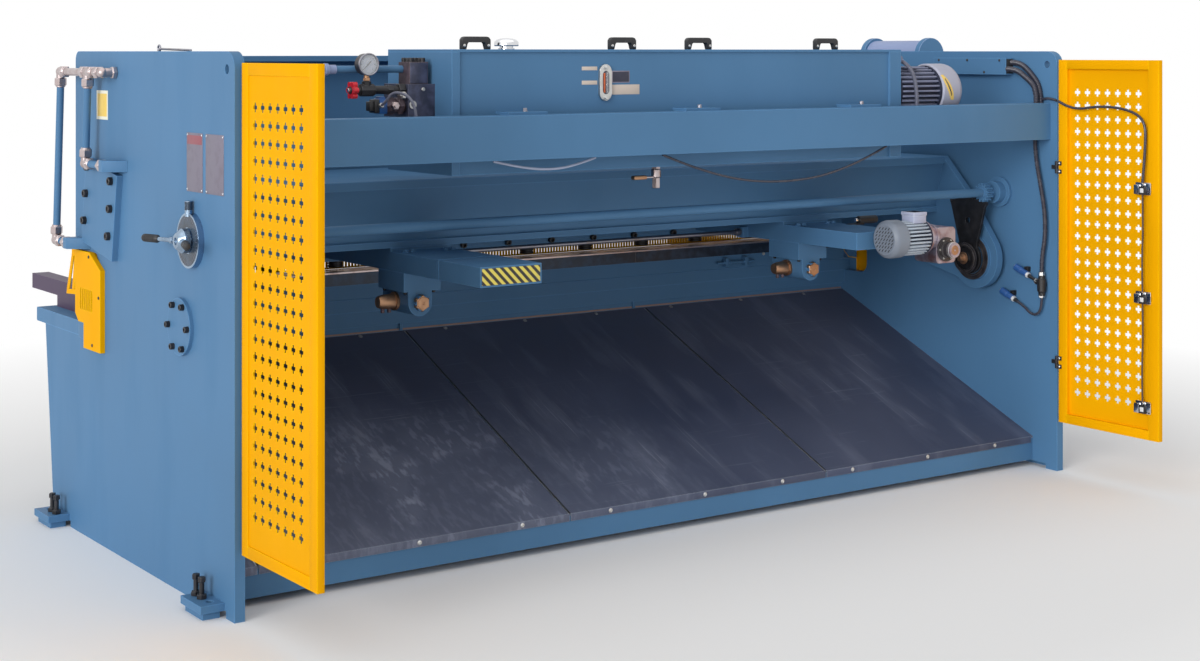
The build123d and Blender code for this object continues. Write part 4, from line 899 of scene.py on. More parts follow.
    def data(self, name: str) -> bpy.types.Mesh:
        """End the gathering.

        Args:
            name: the mesh's name.

        Returns:
            The mesh, smooth but for its sharp edges.
        """
        data = bpy.data.meshes.new(name)
        self.mesh.to_mesh(data)
        self.mesh.free()
        data.shade_smooth()
        data.set_sharp_from_angle(angle=SHARP)
        return data

    def piece(self, name: str, slot: str, finish: str = "", *nodes: str, body: str = "frame") -> bpy.types.Object:
        """Make the gathered mesh a piece of the scene, in its slot's finish unless another is named."""
        return place(self.data(name), name, slot, finish or finish_of(slot), nodes, body)


class GeoTree(Nodes):
    """A Geometry Nodes tree with named inputs, run on a mesh to give a plain one."""

    def __init__(self, name: str, **inputs: str) -> None:
        """Start a tree.

        Args:
            name: the tree's name.
            inputs: socket types by input name; a finish is always one.
        """
        super().__init__(bpy.data.node_groups.new(name, "GeometryNodeTree"))
        for label, kind in {"Geometry": "Geometry", "Finish": "Material", **inputs}.items():
            self.tree.interface.new_socket(label, in_out="INPUT", socket_type=f"NodeSocket{kind}")
        self.tree.interface.new_socket("Geometry", in_out="OUTPUT", socket_type="NodeSocketGeometry")
        self.entry = self.tree.nodes.new("NodeGroupInput")
        self.exit = self.tree.nodes.new("NodeGroupOutput")

    def given(self, name: str) -> Sock:
        """One of the tree's inputs."""
        return Sock(self, self.entry.outputs[name])

    def close(self, geometry: Sock) -> None:
        """End the tree in realised instances and their finish.

        Args:
            geometry: what the tree has made.
        """
        real = self.node("GeometryNodeRealizeInstances", {"Geometry": geometry})
        done = self.node("GeometryNodeSetMaterial", {"Geometry": real, "Material": self.given("Finish")})
        self.feed(self.exit.inputs[0], done)

    def run(self, start: bpy.types.Mesh, finish: str, **values: Any) -> bpy.types.Mesh:
        """Run the tree.

        Args:
            start: mesh that the tree begins from, which is used up.
            finish: name of the finish.
            values: other input values by name.

        Returns:
            The plain mesh that comes out.
        """
        host = link("host", start)
        modifier = host.modifiers.new("nodes", "NODES")
        modifier.node_group = self.tree
        values["Finish"] = finishes[finish]
        for item in self.tree.interface.items_tree:
            if item.in_out == "INPUT" and item.name in values:
                modifier[item.identifier] = values[item.name]
        data = plain(host)
        discard(host)
        return data


class Fasteners:
    """Screws, bolts and nuts set out by one Geometry Nodes tree, facing out of their seats."""

    def __init__(self) -> None:
        """Build the tree."""
        self.tree = tree = GeoTree("set_out_parts", Part="Object")
        facing = tree.node("GeometryNodeInputNamedAttribute", {"Name": "facing"}, data_type="FLOAT_VECTOR")
        turn = tree.node("FunctionNodeAlignRotationToVector", {"Vector": facing}, axis="Z")
        part = tree.node("GeometryNodeObjectInfo", {"Object": tree.given("Part")}, "Geometry")
        sockets = {"Points": tree.given("Geometry"), "Instance": part, "Rotation": turn}
        tree.close(tree.node("GeometryNodeInstanceOnPoints", sockets))

    def set_out(
        self, part: Shape, seats: Seats, name: str, slot: str, finish: str = "", body: str = "frame"
    ) -> bpy.types.Object:
        """Repeat a part.

        Args:
            part: the part about the origin, facing +Z.
            seats: seat and outward direction of each copy.
            name: name of the piece.
            slot: record's material slot.
            finish: name of its finish, if not the slot's own.
            body: CAD body that carries it.

        Returns:
            The piece.
        """
        sample = link("sample", part.data("sample"))
        points = bpy.data.meshes.new("points")
        points.from_pydata([spot for spot, _ in seats], [], [])
        facing = points.attributes.new("facing", "FLOAT_VECTOR", "POINT")
        for mark, (_, way) in zip(facing.data, seats):
            mark.vector = way
        data = self.tree.run(points, finish or finish_of(slot), Part=sample)
        discard(sample)
        return place(data, name, slot, body=body)


def cap_screw(radius: float, height: float) -> Shape:
    """Socket-head screw with its recess.

    Args:
        radius: radius of its head.
        height: height of its head.

    Returns:
        The screw about the origin, facing +Z.
    """
    edge, floor = 0.12 * radius, 0.45 * height
    profile = [(-0.4, radius), (height - edge, radius), (height, radius - edge), (height, 0.56 * radius)]
    return Shape().lathe(Vector(), UP, [*profile, (floor, 0.5 * radius)], 12)


def hex_bolt(radius: float, height: float, washer: float = 2.0) -> Shape:
    """Hex head on a washer.

    Args:
        radius: radius of its head.
        height: height of its head.
        washer: thickness of the washer.

    Returns:
        The bolt about the origin, facing +Z.
    """
    form = Shape().lathe(Vector(), UP, [(-0.4, 1.35 * radius), (washer, 1.35 * radius)], 16)
    top = height + washer
    return form.lathe(Vector(), UP, [(washer - 0.5, radius), (top - 1.2, radius), (top, 0.84 * radius)], 6)


def pan_screw(radius: float = 5.0, height: float = 3.0) -> Shape:
    """Low round head with a dished middle.

    Args:
        radius: radius of its head.
        height: height of its head.

    Returns:
        The screw about the origin, facing +Z.
    """
    steps = ((0.4, 1.0), (0.85, 0.72), (1.0, 0.36), (0.6, 0.2))
    profile = [(-0.4, radius), *((up * height, out * radius) for up, out in steps)]
    return Shape().lathe(Vector(), UP, profile, 12)


def foot_stud(reach: float = 62.0) -> Shape:
    """Levelling screw with its lock nut and hex head."""
    form = Shape().rod(UP * -0.0005, UP * (reach - 14) * MM, 7.5, 14).rod(Vector(), UP * 0.013, 15.0, 6, 1.6)
    return form.lathe(UP * (reach - 17) * MM, UP, [(0.0, 8.0), (3.0, 11.5), (15.0, 11.5), (17.0, 9.0)], 6)


def smooth_line(points: Sequence[Triple]) -> list[Vector]:
    """A cord's smooth line.

    Args:
        points: its route in millimetres, as x, depth and z.

    Returns:
        Points read from the route's spline, in metres.
    """
    curve = bpy.data.curves.new("route", "CURVE")
    curve.dimensions = "3D"
    spline = curve.splines.new("NURBS")
    spline.points.add(len(points) - 1)
    for knot, point in zip(spline.points, points):
        knot.co = (*at(*point), 1.0)
    spline.order_u = 3
    spline.use_endpoint_u = True
    spline.resolution_u = 8
    host = link("route", curve)
    data = plain(host)
    line = [vertex.co.copy() for vertex in data.vertices]
    bpy.data.meshes.remove(data)
    discard(host)
    return line


class RibbedTube:
    """Corrugated conduit along a line, its ribs made by one Geometry Nodes tree."""

    def __init__(self) -> None:
        """Build the tree."""
        self.tree = tree = GeoTree("ribbed_tube", Pitch="Float", Crest="Float", Groove="Float", Sides="Int")
        curve = tree.node("GeometryNodeMeshToCurve", {"Mesh": tree.given("Geometry")})
        sockets = {"Curve": curve, "Length": tree.given("Pitch") * 0.25}
        fine = tree.node("GeometryNodeResampleCurve", sockets, mode="LENGTH")
        high = (tree.node("GeometryNodeInputIndex") % 4.0) < 1.5
        sockets = {0: high, 2: tree.given("Groove"), 3: tree.given("Crest")}
        radius = tree.node("ShaderNodeMix", sockets, data_type="FLOAT")
        ring = tree.node("GeometryNodeCurvePrimitiveCircle", {"Resolution": tree.given("Sides"), "Radius": 1.0})
        sized = tree.node("GeometryNodeSetCurveRadius", {"Curve": fine, "Radius": radius})
        sockets = {"Curve": sized, "Profile Curve": ring, "Scale": radius, "Fill Caps": True}
        tree.close(tree.node("GeometryNodeCurveToMesh", sockets))

    def skin(self, line: Sequence[Vector], crest: float, pitch: float, finish: str) -> bpy.types.Mesh:
        """Mesh of a ribbed tube.

        Args:
            line: its centre line in metres.
            crest: radius on a rib, in millimetres.
            pitch: distance from rib to rib.
            finish: name of its finish.

        Returns:
            The mesh.
        """
        start = bpy.data.meshes.new("line")
        start.from_pydata(line, [(i, i + 1) for i in range(len(line) - 1)], [])
        sizes = {"Pitch": pitch * MM, "Crest": crest * MM, "Groove": GROOVE * crest * MM}
        data = self.tree.run(start, finish, Sides=RIB_SIDES, **sizes)
        data.shade_smooth()
        data.set_sharp_from_angle(angle=RIB_SHARP)
        return data


@dataclass
class Cords:
    """Conduits, hose and leads under the channel, on the left frame and on the left door."""

    ribs: RibbedTube
    wall: float = -1628.0
    door: float = -1638.7
    under: float = 72.0

    def lay(
        self,
        name: str,
        points: Sequence[Triple],
        radius: float,
        pitch: float = 0.0,
        finish: str = "conduit_skin",
        nodes: Sequence[str] = (),
        body: str = "frame",
    ) -> None:
        """Build one cord.

        Args:
            name: the piece's name.
            points: its route.
            radius: its radius.
            pitch: distance from rib to rib, or nothing for a plain cord.
            finish: name of its finish.
            nodes: CAD nodes that it stands for.
            body: CAD body that carries it.
        """
        line = smooth_line(points)
        if pitch:
            piece = place(self.ribs.skin(line, radius, pitch, finish), name, "black_plastic", "", nodes, body)
        else:
            piece = Shape().tube(line, radius).piece(name, "black_plastic", finish, *nodes, body=body)
        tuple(line[0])
        sum((b - a).length for a, b in zip(line, line[1:]))

    def build(self) -> None:
        """Build every cord."""
        for name, x, z, nodes in (
            ("conduit_high", -1639.0, 1537.0, ("conduits",)), ("conduit_low", -1615.0, 1512.0, ())
        ):
            points = [(x, 218, z), (x, 174, z), (x, 122, (3 * z + 1384) / 4), (x, 71.5, 1444), (x, 71.5, 1384)]
            self.lay(name, points, 11.0, 6.0, nodes=nodes)
        hose = ((89, 1247), (89, 1195), (66, 1090), (42, 985), (38, 880), (56, 800), (56, 741))
        self.lay("switch_hose", [(self.wall, *spot) for spot in hose], 9.0, 5.0)
        loop = ((56, 655), (56, 615), (76, 581), (112, 581), (142.3, 606.2), (178.3, 621.4))
        self.lay("switch_loop", [(self.wall, *spot) for spot in loop], 5.0)
        black = ((150, 1243.1), (-39, 1172), (-320, 1129), (-636, 1157), (-842, 1243.1))
        self.lay("black_wire", [(x, self.under, z) for x, z in black], 4.0)
        grey = ((797, 1243.1), (701, 1221), (590, 1210), (496, 1220), (417, 1243.1))
        self.lay("grey_wire", [(x, self.under, z) for x, z in grey], 4.0, finish="grey_cable")
        motor = [(-964, 150, 1550), (-994, 150, 1550), (-1014, 95, 1490), (-1014, 95, 1384)]
        self.lay("motor_lead", motor, 8.0, 5.0, "lilac_lead")
        coil = [(1100, 240, 1412), (1100, 208, 1420), (1082, 186, 1462), (1049, 116, 1440), (1046, 110, 1384)]
        self.lay("coil_lead", coil, 4.5, finish="lilac_lead")
        start = ((84, 1392), (52, 1402), (20, 1402), (-6, 1395))
        self.lay("door_lead_start", [(self.door, *spot) for spot in start], 5.0)
        lead = ((-16, 1393), (-82, 1360), (-213, 1380), (-342, 1371), (-421.5, 1333), (-419.5, 1223), (-407.5, 1109))
        points = [(self.door, *spot) for spot in lead]
        self.lay("door_lead_top", points, 5.0, nodes=("door_lead",), body="door_left")
        for name, low, high in (("door_lead_middle", 718, 1065), ("door_lead_low", 325, 674)):
            run = ((-407.5, high), (-410.5, (2 * high + low) / 3), (-404.5, (high + 2 * low) / 3), (-407.5, low))
            points = [(self.door, *spot) for spot in run]
            self.lay(name, points, 3.4, finish="brown_lead", body="door_left")


@dataclass
class Doors:
    """Perforated rear doors standing open, with frames, latches and hinge knuckles."""

    bolts: Fasteners
    start: float = -12.0
    end: float = -474.0
    low: float = 188.0
    high: float = 1548.0
    inner: float = 1644.0
    outer: float = 1666.0
    hinge_border: float = 40.0
    end_border: float = 46.0
    top_border: float = 34.0
    lap: float = 6.0
    sheet: float = 3.0
    recess: float = 4.0
    counts: tuple[int, int] = (7, 24)
    pitches: Pair = (47.0, 48.6)
    firsts: Pair = (850.0, 309.0)
    cross: float = 13.5
    arm: float = 5.2
    latch_heights: Triple = (303.0, 696.0, 1087.0)
    hinge_heights: Pair = (412.0, 1144.0)

    def _tree(self) -> GeoTree:
        """Set out one holed cell on a grid and join it to the border.

        Returns:
            The tree that does so.
        """
        sizes = {"Width": "Float", "Height": "Float", "Middle": "Vector"}
        tree = GeoTree("perforated_sheet", Cell="Object", Columns="Int", Rows="Int", **sizes)
        inputs = {"Size X": "Width", "Size Y": "Height", "Vertices X": "Columns", "Vertices Y": "Rows"}
        grid = tree.node("GeometryNodeMeshGrid", {key: tree.given(name) for key, name in inputs.items()})
        upright = (math.pi / 2, 0.0, math.pi / 2)
        sockets = {"Geometry": grid, "Translation": tree.given("Middle"), "Rotation": upright}
        points = tree.node("GeometryNodeTransform", sockets)
        cell = tree.node("GeometryNodeObjectInfo", {"Object": tree.given("Cell")}, "Geometry")
        spread = tree.node("GeometryNodeInstanceOnPoints", {"Points": points, "Instance": cell})
        real = tree.node("GeometryNodeRealizeInstances", {"Geometry": spread})
        join = tree.node("GeometryNodeJoinGeometry", {0: tree.given("Geometry")})
        tree.feed(join.socket.node.inputs[0], real)
        tree.close(tree.node("GeometryNodeMergeByDistance", {"Geometry": join, "Distance": SEAM}))
        return tree

    def _lines(self, middle: float, pitch: float) -> list[float]:
        """Grid lines of a cell along one axis."""
        return [middle + step for step in (-pitch / 2, -self.cross, -self.arm, self.arm, self.cross, pitch / 2)]

    def _row(self, axis: int, near: float, far: float) -> list[float]:
        """Grid lines of a whole row of cells.

        Args:
            axis: 0 for a row along the door, 1 for an upright one.
            near: first border.
            far: last border.

        Returns:
            The lines, with the borders.
        """
        lines = [near]
        for index in range(self.counts[axis]):
            lines += self._lines(self.firsts[axis] + index * self.pitches[axis], self.pitches[axis])[:-1]
        last = self.firsts[axis] + (self.counts[axis] - 1) * self.pitches[axis]
        return [*lines, self._lines(last, self.pitches[axis])[-1], far]

    def _quads(self, ys: Sequence[float], zs: Sequence[float], skip: set[tuple[int, int]]) -> bpy.types.Mesh:
        """Flat quads between grid lines in the Y-Z plane.

        Args:
            ys: grid lines along Y.
            zs: grid lines along Z.
            skip: quads that are left open.

        Returns:
            The mesh.
        """
        form = bmesh.new()
        spots = [[form.verts.new((0.0, y * MM, z * MM)) for z in zs] for y in ys]
        for i in range(len(ys) - 1):
            for j in range(len(zs) - 1):
                if (i, j) not in skip:
                    form.faces.new((spots[i][j], spots[i + 1][j], spots[i + 1][j + 1], spots[i][j + 1]))
        bmesh.ops.delete(form, geom=[vertex for vertex in form.verts if not vertex.link_faces], context="VERTS")
        data = bpy.data.meshes.new("quads")
        form.to_mesh(data)
        form.free()
        return data

    def _sheet(self) -> bpy.types.Mesh:
        """Perforated sheet of one door in the plane X = 0.

        Returns:
            Its mesh, with its thickness.
        """
        plus = {(1, 2), (2, 1), (2, 2), (2, 3), (3, 2)}
        cell = link("cell", self._quads(*(self._lines(0.0, pitch) for pitch in self.pitches), plus))
        border = REAR_Y - self.start + self.hinge_border - self.lap, REAR_Y - self.end - self.end_border + self.lap
        ys = self._row(0, *border)
        zs = self._row(1, self.low + self.top_border - self.lap, self.high - self.top_border + self.lap)
        inside = {(i, j) for i in range(1, len(ys) - 2) for j in range(1, len(zs) - 2)}
        spans = [(count - 1) * pitch for count, pitch in zip(self.counts, self.pitches)]
        middle = [(first + span / 2) * MM for first, span in zip(self.firsts, spans)]
        flat = self._tree().run(
            self._quads(ys, zs, inside),
            "yellow_enamel",
            Cell=cell,
            Columns=self.counts[0],
            Rows=self.counts[1],
            Width=spans[0] * MM,
            Height=spans[1] * MM,
            Middle=(0.0, *middle),
        )
        discard(cell)
        form = bmesh.new()
        form.from_mesh(flat)
        bmesh.ops.recalc_face_normals(form, faces=form.faces[:])
        bmesh.ops.solidify(form, geom=form.faces[:], thickness=self.sheet * MM)
        bmesh.ops.recalc_face_normals(form, faces=form.faces[:])
        form.to_mesh(flat)
        form.free()
        return flat

    def _frame(self, side: int) -> Shape:
        """Square-tube frame round the sheet of a door.

        Args:
            side: 1 for the right door, -1 for the left one.

        Returns:
            The frame.
        """
        x = (side * self.inner, side * self.outer)
        near, far = self.start - self.hinge_border, self.end + self.end_border
        form = Shape()
        for depth in ((self.start, near), (self.end, far)):
            form.block(x, depth, (self.low, self.high), 1.6)
        for z in ((self.low, self.low + self.top_border), (self.high - self.top_border, self.high)):
            form.block(x, (near + 2, far - 2), z, 1.2)
        return form

    def _latches(self, side: int, word: str) -> None:
        """Switch latches on the free border: bracket, body and roller.

        Args:
            side: 1 for the right door, -1 for the left one.
            word: the side in words.
        """
        chrome, black, pale = Shape(), Shape(), Shape()

        def span(near: float, far: float) -> Pair:
            """Span inwards from the door's inner face."""
            return side * (self.inner - near), side * (self.inner - far)

        for z in self.latch_heights:
            chrome.block(span(0, 2.5), (-374, -441), (z - 22, z + 22), 0.8)
            chrome.block(span(1, 13), (-374, -396), (z - 20, z + 14), 1.2)
            chrome.block(span(1, 9), (-424, -446), (z - 14, z + 20), 1.2)
            chrome.bar(span(2, 12), -410, z + 15, 6.5, 16)
            black.block(span(1, 13.5), (-396, -424), (z - 21, z + 9), 1.6)
            pale.block(span(13, 14), (-402, -418), (z - 14, z + 2), 0.4)
            for depth in (-380, -434):
                black.bar(span(2, 5), depth, z - 17, 3.4, 12)
        chrome.piece(f"latch_plates_{word}", "chrome", body=f"door_{word}")
        black.piece(f"latch_bodies_{word}", "black_plastic", body=f"door_{word}")
        pale.piece(f"latch_faces_{word}", "sight_plastic", body=f"door_{word}")

    def build(self) -> None:
        """Build both doors."""
        sheet = self._sheet()
        shift = (self.outer - self.recess) * MM - max(vertex.co.x for vertex in sheet.vertices)
        for side, word in SIDES:
            body = f"door_{word}"
            data = sheet.copy()
            for vertex in data.vertices:
                vertex.co.x = side * (vertex.co.x + shift)
            if side < 0:
                data.flip_normals()
            place(data, f"{body}_sheet", "yellow_paint", nodes=(body,), body=body)
            self._frame(side).piece(f"{body}_frame", "yellow_paint", body=body)
            self._latches(side, word)
            knuckles = Shape()
            screws = []
            for z, way in ((z, way) for z in self.hinge_heights for way in (-1, 1)):
                leaf = (z + way * 8.0, z + way * 23.0)
                knuckles.bar(side * 1642, -4, leaf, 6.0, 16)
                knuckles.block((side * 1640, side * 1644), (-4, -28), leaf, 0.8)
                screws.append((at(side * 1640, -19, z + way * 15.5), LEFT * side))
            knuckles.piece(f"{body}_knuckles", "bright_steel", "black_steel", body=body)
            self.bolts.set_out(pan_screw(), screws, f"{body}_screws", "bright_steel", "zinc", body)


@dataclass
class SideFrames:
    """Small pieces on the outside of the side frames."""

    bolts: Fasteners
    stud_depths: tuple[float, ...] = (140.0, 180.0, 1380.0, 1340.0)
    plate_bolts: tuple[Pair, ...] = (
        (878.0, 1173.0), (884.0, 1086.0), (900.0, 999.0), (1098.0, 1122.0), (1112.0, 1034.0), (1085.0, 1209.0)
    )
    guard_screws: tuple[Pair, ...] = ((1092.0, 916.0), (1003.0, 793.0), (1060.0, 635.0))
    cover_ring: float = 70.0

    def _bolts(self) -> None:
        """Foot studs, cylinder bolts and the screws of pivot covers and side guards."""
        studs = [(at(side * 1718, depth, 42), UP) for side, _ in SIDES for depth in self.stud_depths]
        self.bolts.set_out(foot_stud(), studs, "foot_studs", "black_steel")
        covers = [(PIVOT[0] + self.cover_ring * way.y, PIVOT[1] + self.cover_ring * way.z) for way in around(6)]
        for name, screw, x, spots in (
            ("cylinder_bolts", cap_screw(13.0, 14.0), 1702, self.plate_bolts),
            ("pivot_cover_bolts", cap_screw(9.5, 13.0), 1694, covers),
            ("side_guard_screws", pan_screw(5.5, 3.0), 1698, self.guard_screws),
        ):
            seats = [(at(side * x, *spot), RIGHT * side) for side, _ in SIDES for spot in spots]
            self.bolts.set_out(screw, seats, name, "black_steel")

    def _plates(self) -> None:
        """Bare plates and a bare label on the right frame, and the rod that lies on it."""
        plates = ((216.0, 330.0), (70.0, 194.0))
        alloy = Shape()
        for near, far in plates:
            alloy.block((OUTER_X, OUTER_X + 1.2), (near, far), (1175, 1345), 0.3)
        alloy.piece("bare_plates", "bright_steel", "plate_alloy")
        band = Shape().block((OUTER_X + 1.0, OUTER_X + 1.6), (221, 325), (1312, 1338), 0.1)
        band.piece("bare_plate_band", "red_plastic", "plate_band")
        rivets = [
            (at(OUTER_X + 1.2, depth, z), RIGHT)
            for near, far in plates
            for depth in (near + 6, far - 6)
            for z in (1181, 1339)
        ]
        self.bolts.set_out(pan_screw(3.0, 1.6), rivets, "plate_rivets", "bright_steel", "chrome")
        for name, x, depth, z, slot, finish in (
            ("bare_label_ground", (0.0, 0.8), (964, 1062), (1362, 1455), "sight_plastic", "white_label"),
            ("bare_label_field", (0.6, 1.2), (972, 1054), (1372, 1445), "yellow_paint", "yellow_label"),
        ):
            Shape().block((OUTER_X + x[0], OUTER_X + x[1]), depth, z, 0.1).piece(name, slot, finish)
        rod = Shape().rod(at(1664, 343, 1583.2), at(1664, 577, 1587), 3.4, 12)
        turns = [math.tau * k / 16 for k in range(17)]
        rod.tube([at(1664, 585 + 9 * math.cos(a), 1589 + 9 * math.sin(a)) for a in turns], 3.0, 8)
        rod.piece("top_rod", "bright_steel", "shaft_steel")

    def _guards(self) -> None:
        """Cheeks of the throat, painted shade behind the louvres and the slotted wings beside the side guards."""
        cheeks, shade_behind, wings = Shape(), Shape(), Shape()
        legs = (
            ((1214, 932), (1277, 927), (1281, 905), (1214, 908)),
            ((1262, 906), (1281, 905), (1326, 790), (1304, 792)),
            ((1232, 907), (1254, 906), (1276, 794), (1254, 795)),
            ((1226, 797), (1324, 790), (1330, 774), (1226, 781)),
        )
        for side, _ in SIDES:
            cheeks.block((side * 1682.3, side * 1684.3), (1141, 1226), (640, 735), 0.4)
            # Near-black sheet behind the louvres: painted shade.
            shade_behind.block((side * 1692.6, side * 1694.2), (1056, 1178), (735, 816), 0.3)
            for leg in legs:
                wings.prism([at(side * 1684, *spot) for spot in leg], RIGHT * side * 0.004)
        cheeks.piece("throat_cheeks", "blue_paint")
        shade_behind.piece("louvre_backs", "yellow_paint", "hole_shade")
        wings.piece("guard_wings", "yellow_paint")

    def build(self) -> None:
        """Build the pieces."""
        self._bolts()
        self._plates()
        self._guards()


@dataclass
class Slide:
    """Screws and folds of the chip slide and the lip above it, with its seams drawn as painted shade and painted
    highlights.
    """

    bolts: Fasteners
    base: Pair = (121.0, 112.3)
    head: Pair = (1186.0, 563.5)
    lip: float = 1150.0
    rise: float = 22.96
    seams: Triple = (1556.0, 482.0, -599.0)
    foot_screws: tuple[float, ...] = (1410, 1030, 663, 326, -60, -398, -722, -1090, -1440)
    lip_screws: tuple[float, ...] = (1380, 1010, 668, 317, -30, -358, -721, -1080, -1420)

    def build(self) -> None:
        """Build the pieces."""
        tilt = math.radians(self.rise)
        out = Vector((0, math.sin(tilt), math.cos(tilt)))
        seats = [(at(x, 117.5, 102), REAR) for x in self.foot_screws]
        self.bolts.set_out(pan_screw(7.5, 4.0), seats, "slide_screws", "bright_steel", "zinc")
        folds = Shape()
        cuts = (1640.0, *self.seams, -1640.0)
        for right, left in zip(cuts, cuts[1:]):
            folds.block((right - 2.5, left + 2.5), (117.5, 121.2), (89, 113.2), 1.2)
        folds.piece("slide_folds", "slide_steel")
        # Each seam gets a near-black strip, painted shade of the gap, and beside it a bright zinc strip, a painted
        # highlight on the lapped edge.
        for name, shift, half, lift, slot, finish in (
            ("slide_seams", 0.0, 4.5, 0.0004, "slide_steel", "hole_shade"),
            ("slide_seam_edges", 4.0, 1.6, 0.0006, "bright_steel", "zinc"),
        ):
            seams = Shape()
            for x in (seam + shift for seam in self.seams):
                foot = [at(x + side * half, self.base[0] + 2, self.base[1] + 0.85) for side in (1, -1)]
                seams.prism(foot + [at(x + side * half, *self.head) for side in (-1, 1)], out * lift)
            seams.piece(name, slot, finish)
        spot = (self.base[0] + self.lip * math.cos(tilt), self.base[1] + self.lip * math.sin(tilt))
        seats = [(at(x, *spot), out) for x in self.lip_screws]
        self.bolts.set_out(pan_screw(8.0, 4.0), seats, "lip_screws", "bright_steel", "zinc")
        strip = Shape().block((-1640, 1640), (1192.5, 1190.5), (568.5, 575), 0.5)
        strip.piece("lip_strip", "bright_steel", "rust_strip")
        tabs = Shape()
        for x in (1556, 500, -544):
            tabs.block((x - 6, x + 6), (1192.5, 1184.5), (568.5, 594), 0.8)
        tabs.piece("slide_tabs", "blue_paint")


@dataclass
class BeamFittings:
    """Knife bolts, pivot rings and small parts on the swing beam."""

    bolts: Fasteners
    body: str = "swing_beam"

    def build(self) -> None:
        """Build the pieces."""
        across = [82 + 193 * step for step in range(-8, 9)]
        seats = [(at(x, 1128, 868 + 0.008 * x), REAR) for x in across]
        self.bolts.set_out(cap_screw(12.0, 15.0), seats, "knife_bolts", "black_steel", body=self.body)
        rings = Shape()
        for side, _ in SIDES:
            for inner, outer, height in ((70.0, 86.0, 4.0), (64.0, 69.0, 7.0)):
                rings.ring(at(side * 1574.2, *PIVOT), LEFT * side, inner, outer, height, 48)
        rings.piece("pivot_rings", "black_steel", "ring_steel", body=self.body)
        seats = [(at(face + dx, 508, 930), UP) for _, face in RAIL_FACES for dx in (-24, -50, -170, -196)]
        self.bolts.set_out(hex_bolt(9.0, 7.0), seats, "rail_bolts", "blue_paint", body=self.body)
        sensor = Shape().bar((-1040, -1132), 435, 944, 15.0, 24, 2.0)
        sensor.block((-1060, -1046), (423, 447), (928, 944)).block((-1062, -990), (423, 447), (927, 932))
        sensor.piece("length_sensor", "black_plastic", body=self.body)
        tip = Shape().bar((-1042, -1026), 435, 944, 7.5, 16)
        tip.piece("length_sensor_tip", "bright_steel", "chrome", body=self.body)


@dataclass
class ClampLine:
    """Slit finger guard, ribbed hold-down pads and the bed's blade with its adjusting screws."""

    bolts: Fasteners
    rear: float = 1326.0
    front: float = 1330.0
    low: float = 791.0
    slit_low: float = 797.0
    slit_high: float = 872.0
    high: float = 1040.0
    hung: float = 1255.0
    pitch: float = 13.0
    slat: Pair = (4.2, 1.9)
    pads: int = 12
    first_pad: float = -1466.0
    pad_pitch: float = 273.0
    pad_depth: float = 1280.0
    work: float = 795.0
    blade: Pair = (1182.6, 1204.6)
    bed: Pair = (-1647.0, 1646.4)

    def _guard(self) -> None:
        """Guard with a row of slats between two rails."""
        sheet = Shape()
        for near, z in (
            (self.rear, (self.slit_high, self.high)),
            (self.hung, (self.high - 4, self.high)),
            (self.rear, (self.low, self.slit_low)),
        ):
            sheet.block((-HALF_WIDTH, HALF_WIDTH), (near, self.front), z, 0.4)
        sheet.piece("guard_sheet", "yellow_paint", "", "finger_guard")
        count = int(2 * HALF_WIDTH // self.pitch)
        middle = (self.rear + self.front) / 2
        places = [self.pitch * (index - (count - 1) / 2) for index in range(count)]
        wide, thick = self.slat
        depth = (REAR_Y - thick, REAR_Y + thick)
        slat = Shape().block((-wide, wide), depth, (0, self.slit_high - self.slit_low + 2), 0.0)
        seats = [(at(x, middle, self.slit_low - 1), UP) for x in places]
        self.bolts.set_out(slat, seats, "guard_slats", "yellow_paint")

    def _pads(self) -> None:
        """Pads with grooves round them on their stems."""
        form = [(0.0, 25.0), (1.5, 27.0), (8.0, 27.0)]
        for groove in (9.0, 18.0):
            form += [(groove, 23.5), (groove + 1.6, 23.5), (groove + 2.6, 27.0), (groove + 8.0, 27.0)]
        form += [(28.0, 26.0), (29.5, 22.0), (29.5, 18.0), (89.0, 18.0)]
        pads = Shape()
        for index in range(self.pads):
            pads.lathe(at(self.first_pad + index * self.pad_pitch, self.pad_depth, self.work + 8), UP, form, 28)
        pads.piece("pad_stacks", "black_steel", "black_plastic", "hold_down_pads", body="hold_downs")

    def _bed(self) -> None:
        """Worn edge of the bed's blade, its face screws and the adjusting screws on the block."""
        face, back = self.blade
        edge = Shape().block(self.bed, (face - 0.3, back), (self.work - 6, self.work + 0.3), 0.2)
        edge.block(self.bed, (back + 0.2, self.rear - 1), (self.work - 5.2, self.work - 4.4), 0.1)
        edge.piece("worn_bed_edge", "blade_steel", "worn_edge")
        seats = [(at(x, face, 743), REAR) for x in (-1249, -1202)]
        self.bolts.set_out(cap_screw(6.5, 5.0), seats, "bed_blade_screws", "bright_steel", "zinc")
        lugs = Shape().bar((-1140, -950), face - 14, 719, 6.0, 14)
        for x in (-994.0, -1095.0):
            lugs.block((x - 8, x + 8), (face, face - 26), (702, 740), 2.0)
            lugs.bar((x - 22, x - 8), face - 14, 719, 11.0, 6, 1.5)
        lugs.piece("adjusting_screws", "blue_paint")

    def build(self) -> None:
        """Build the line."""
        self._guard()
        self._pads()
        self._bed()


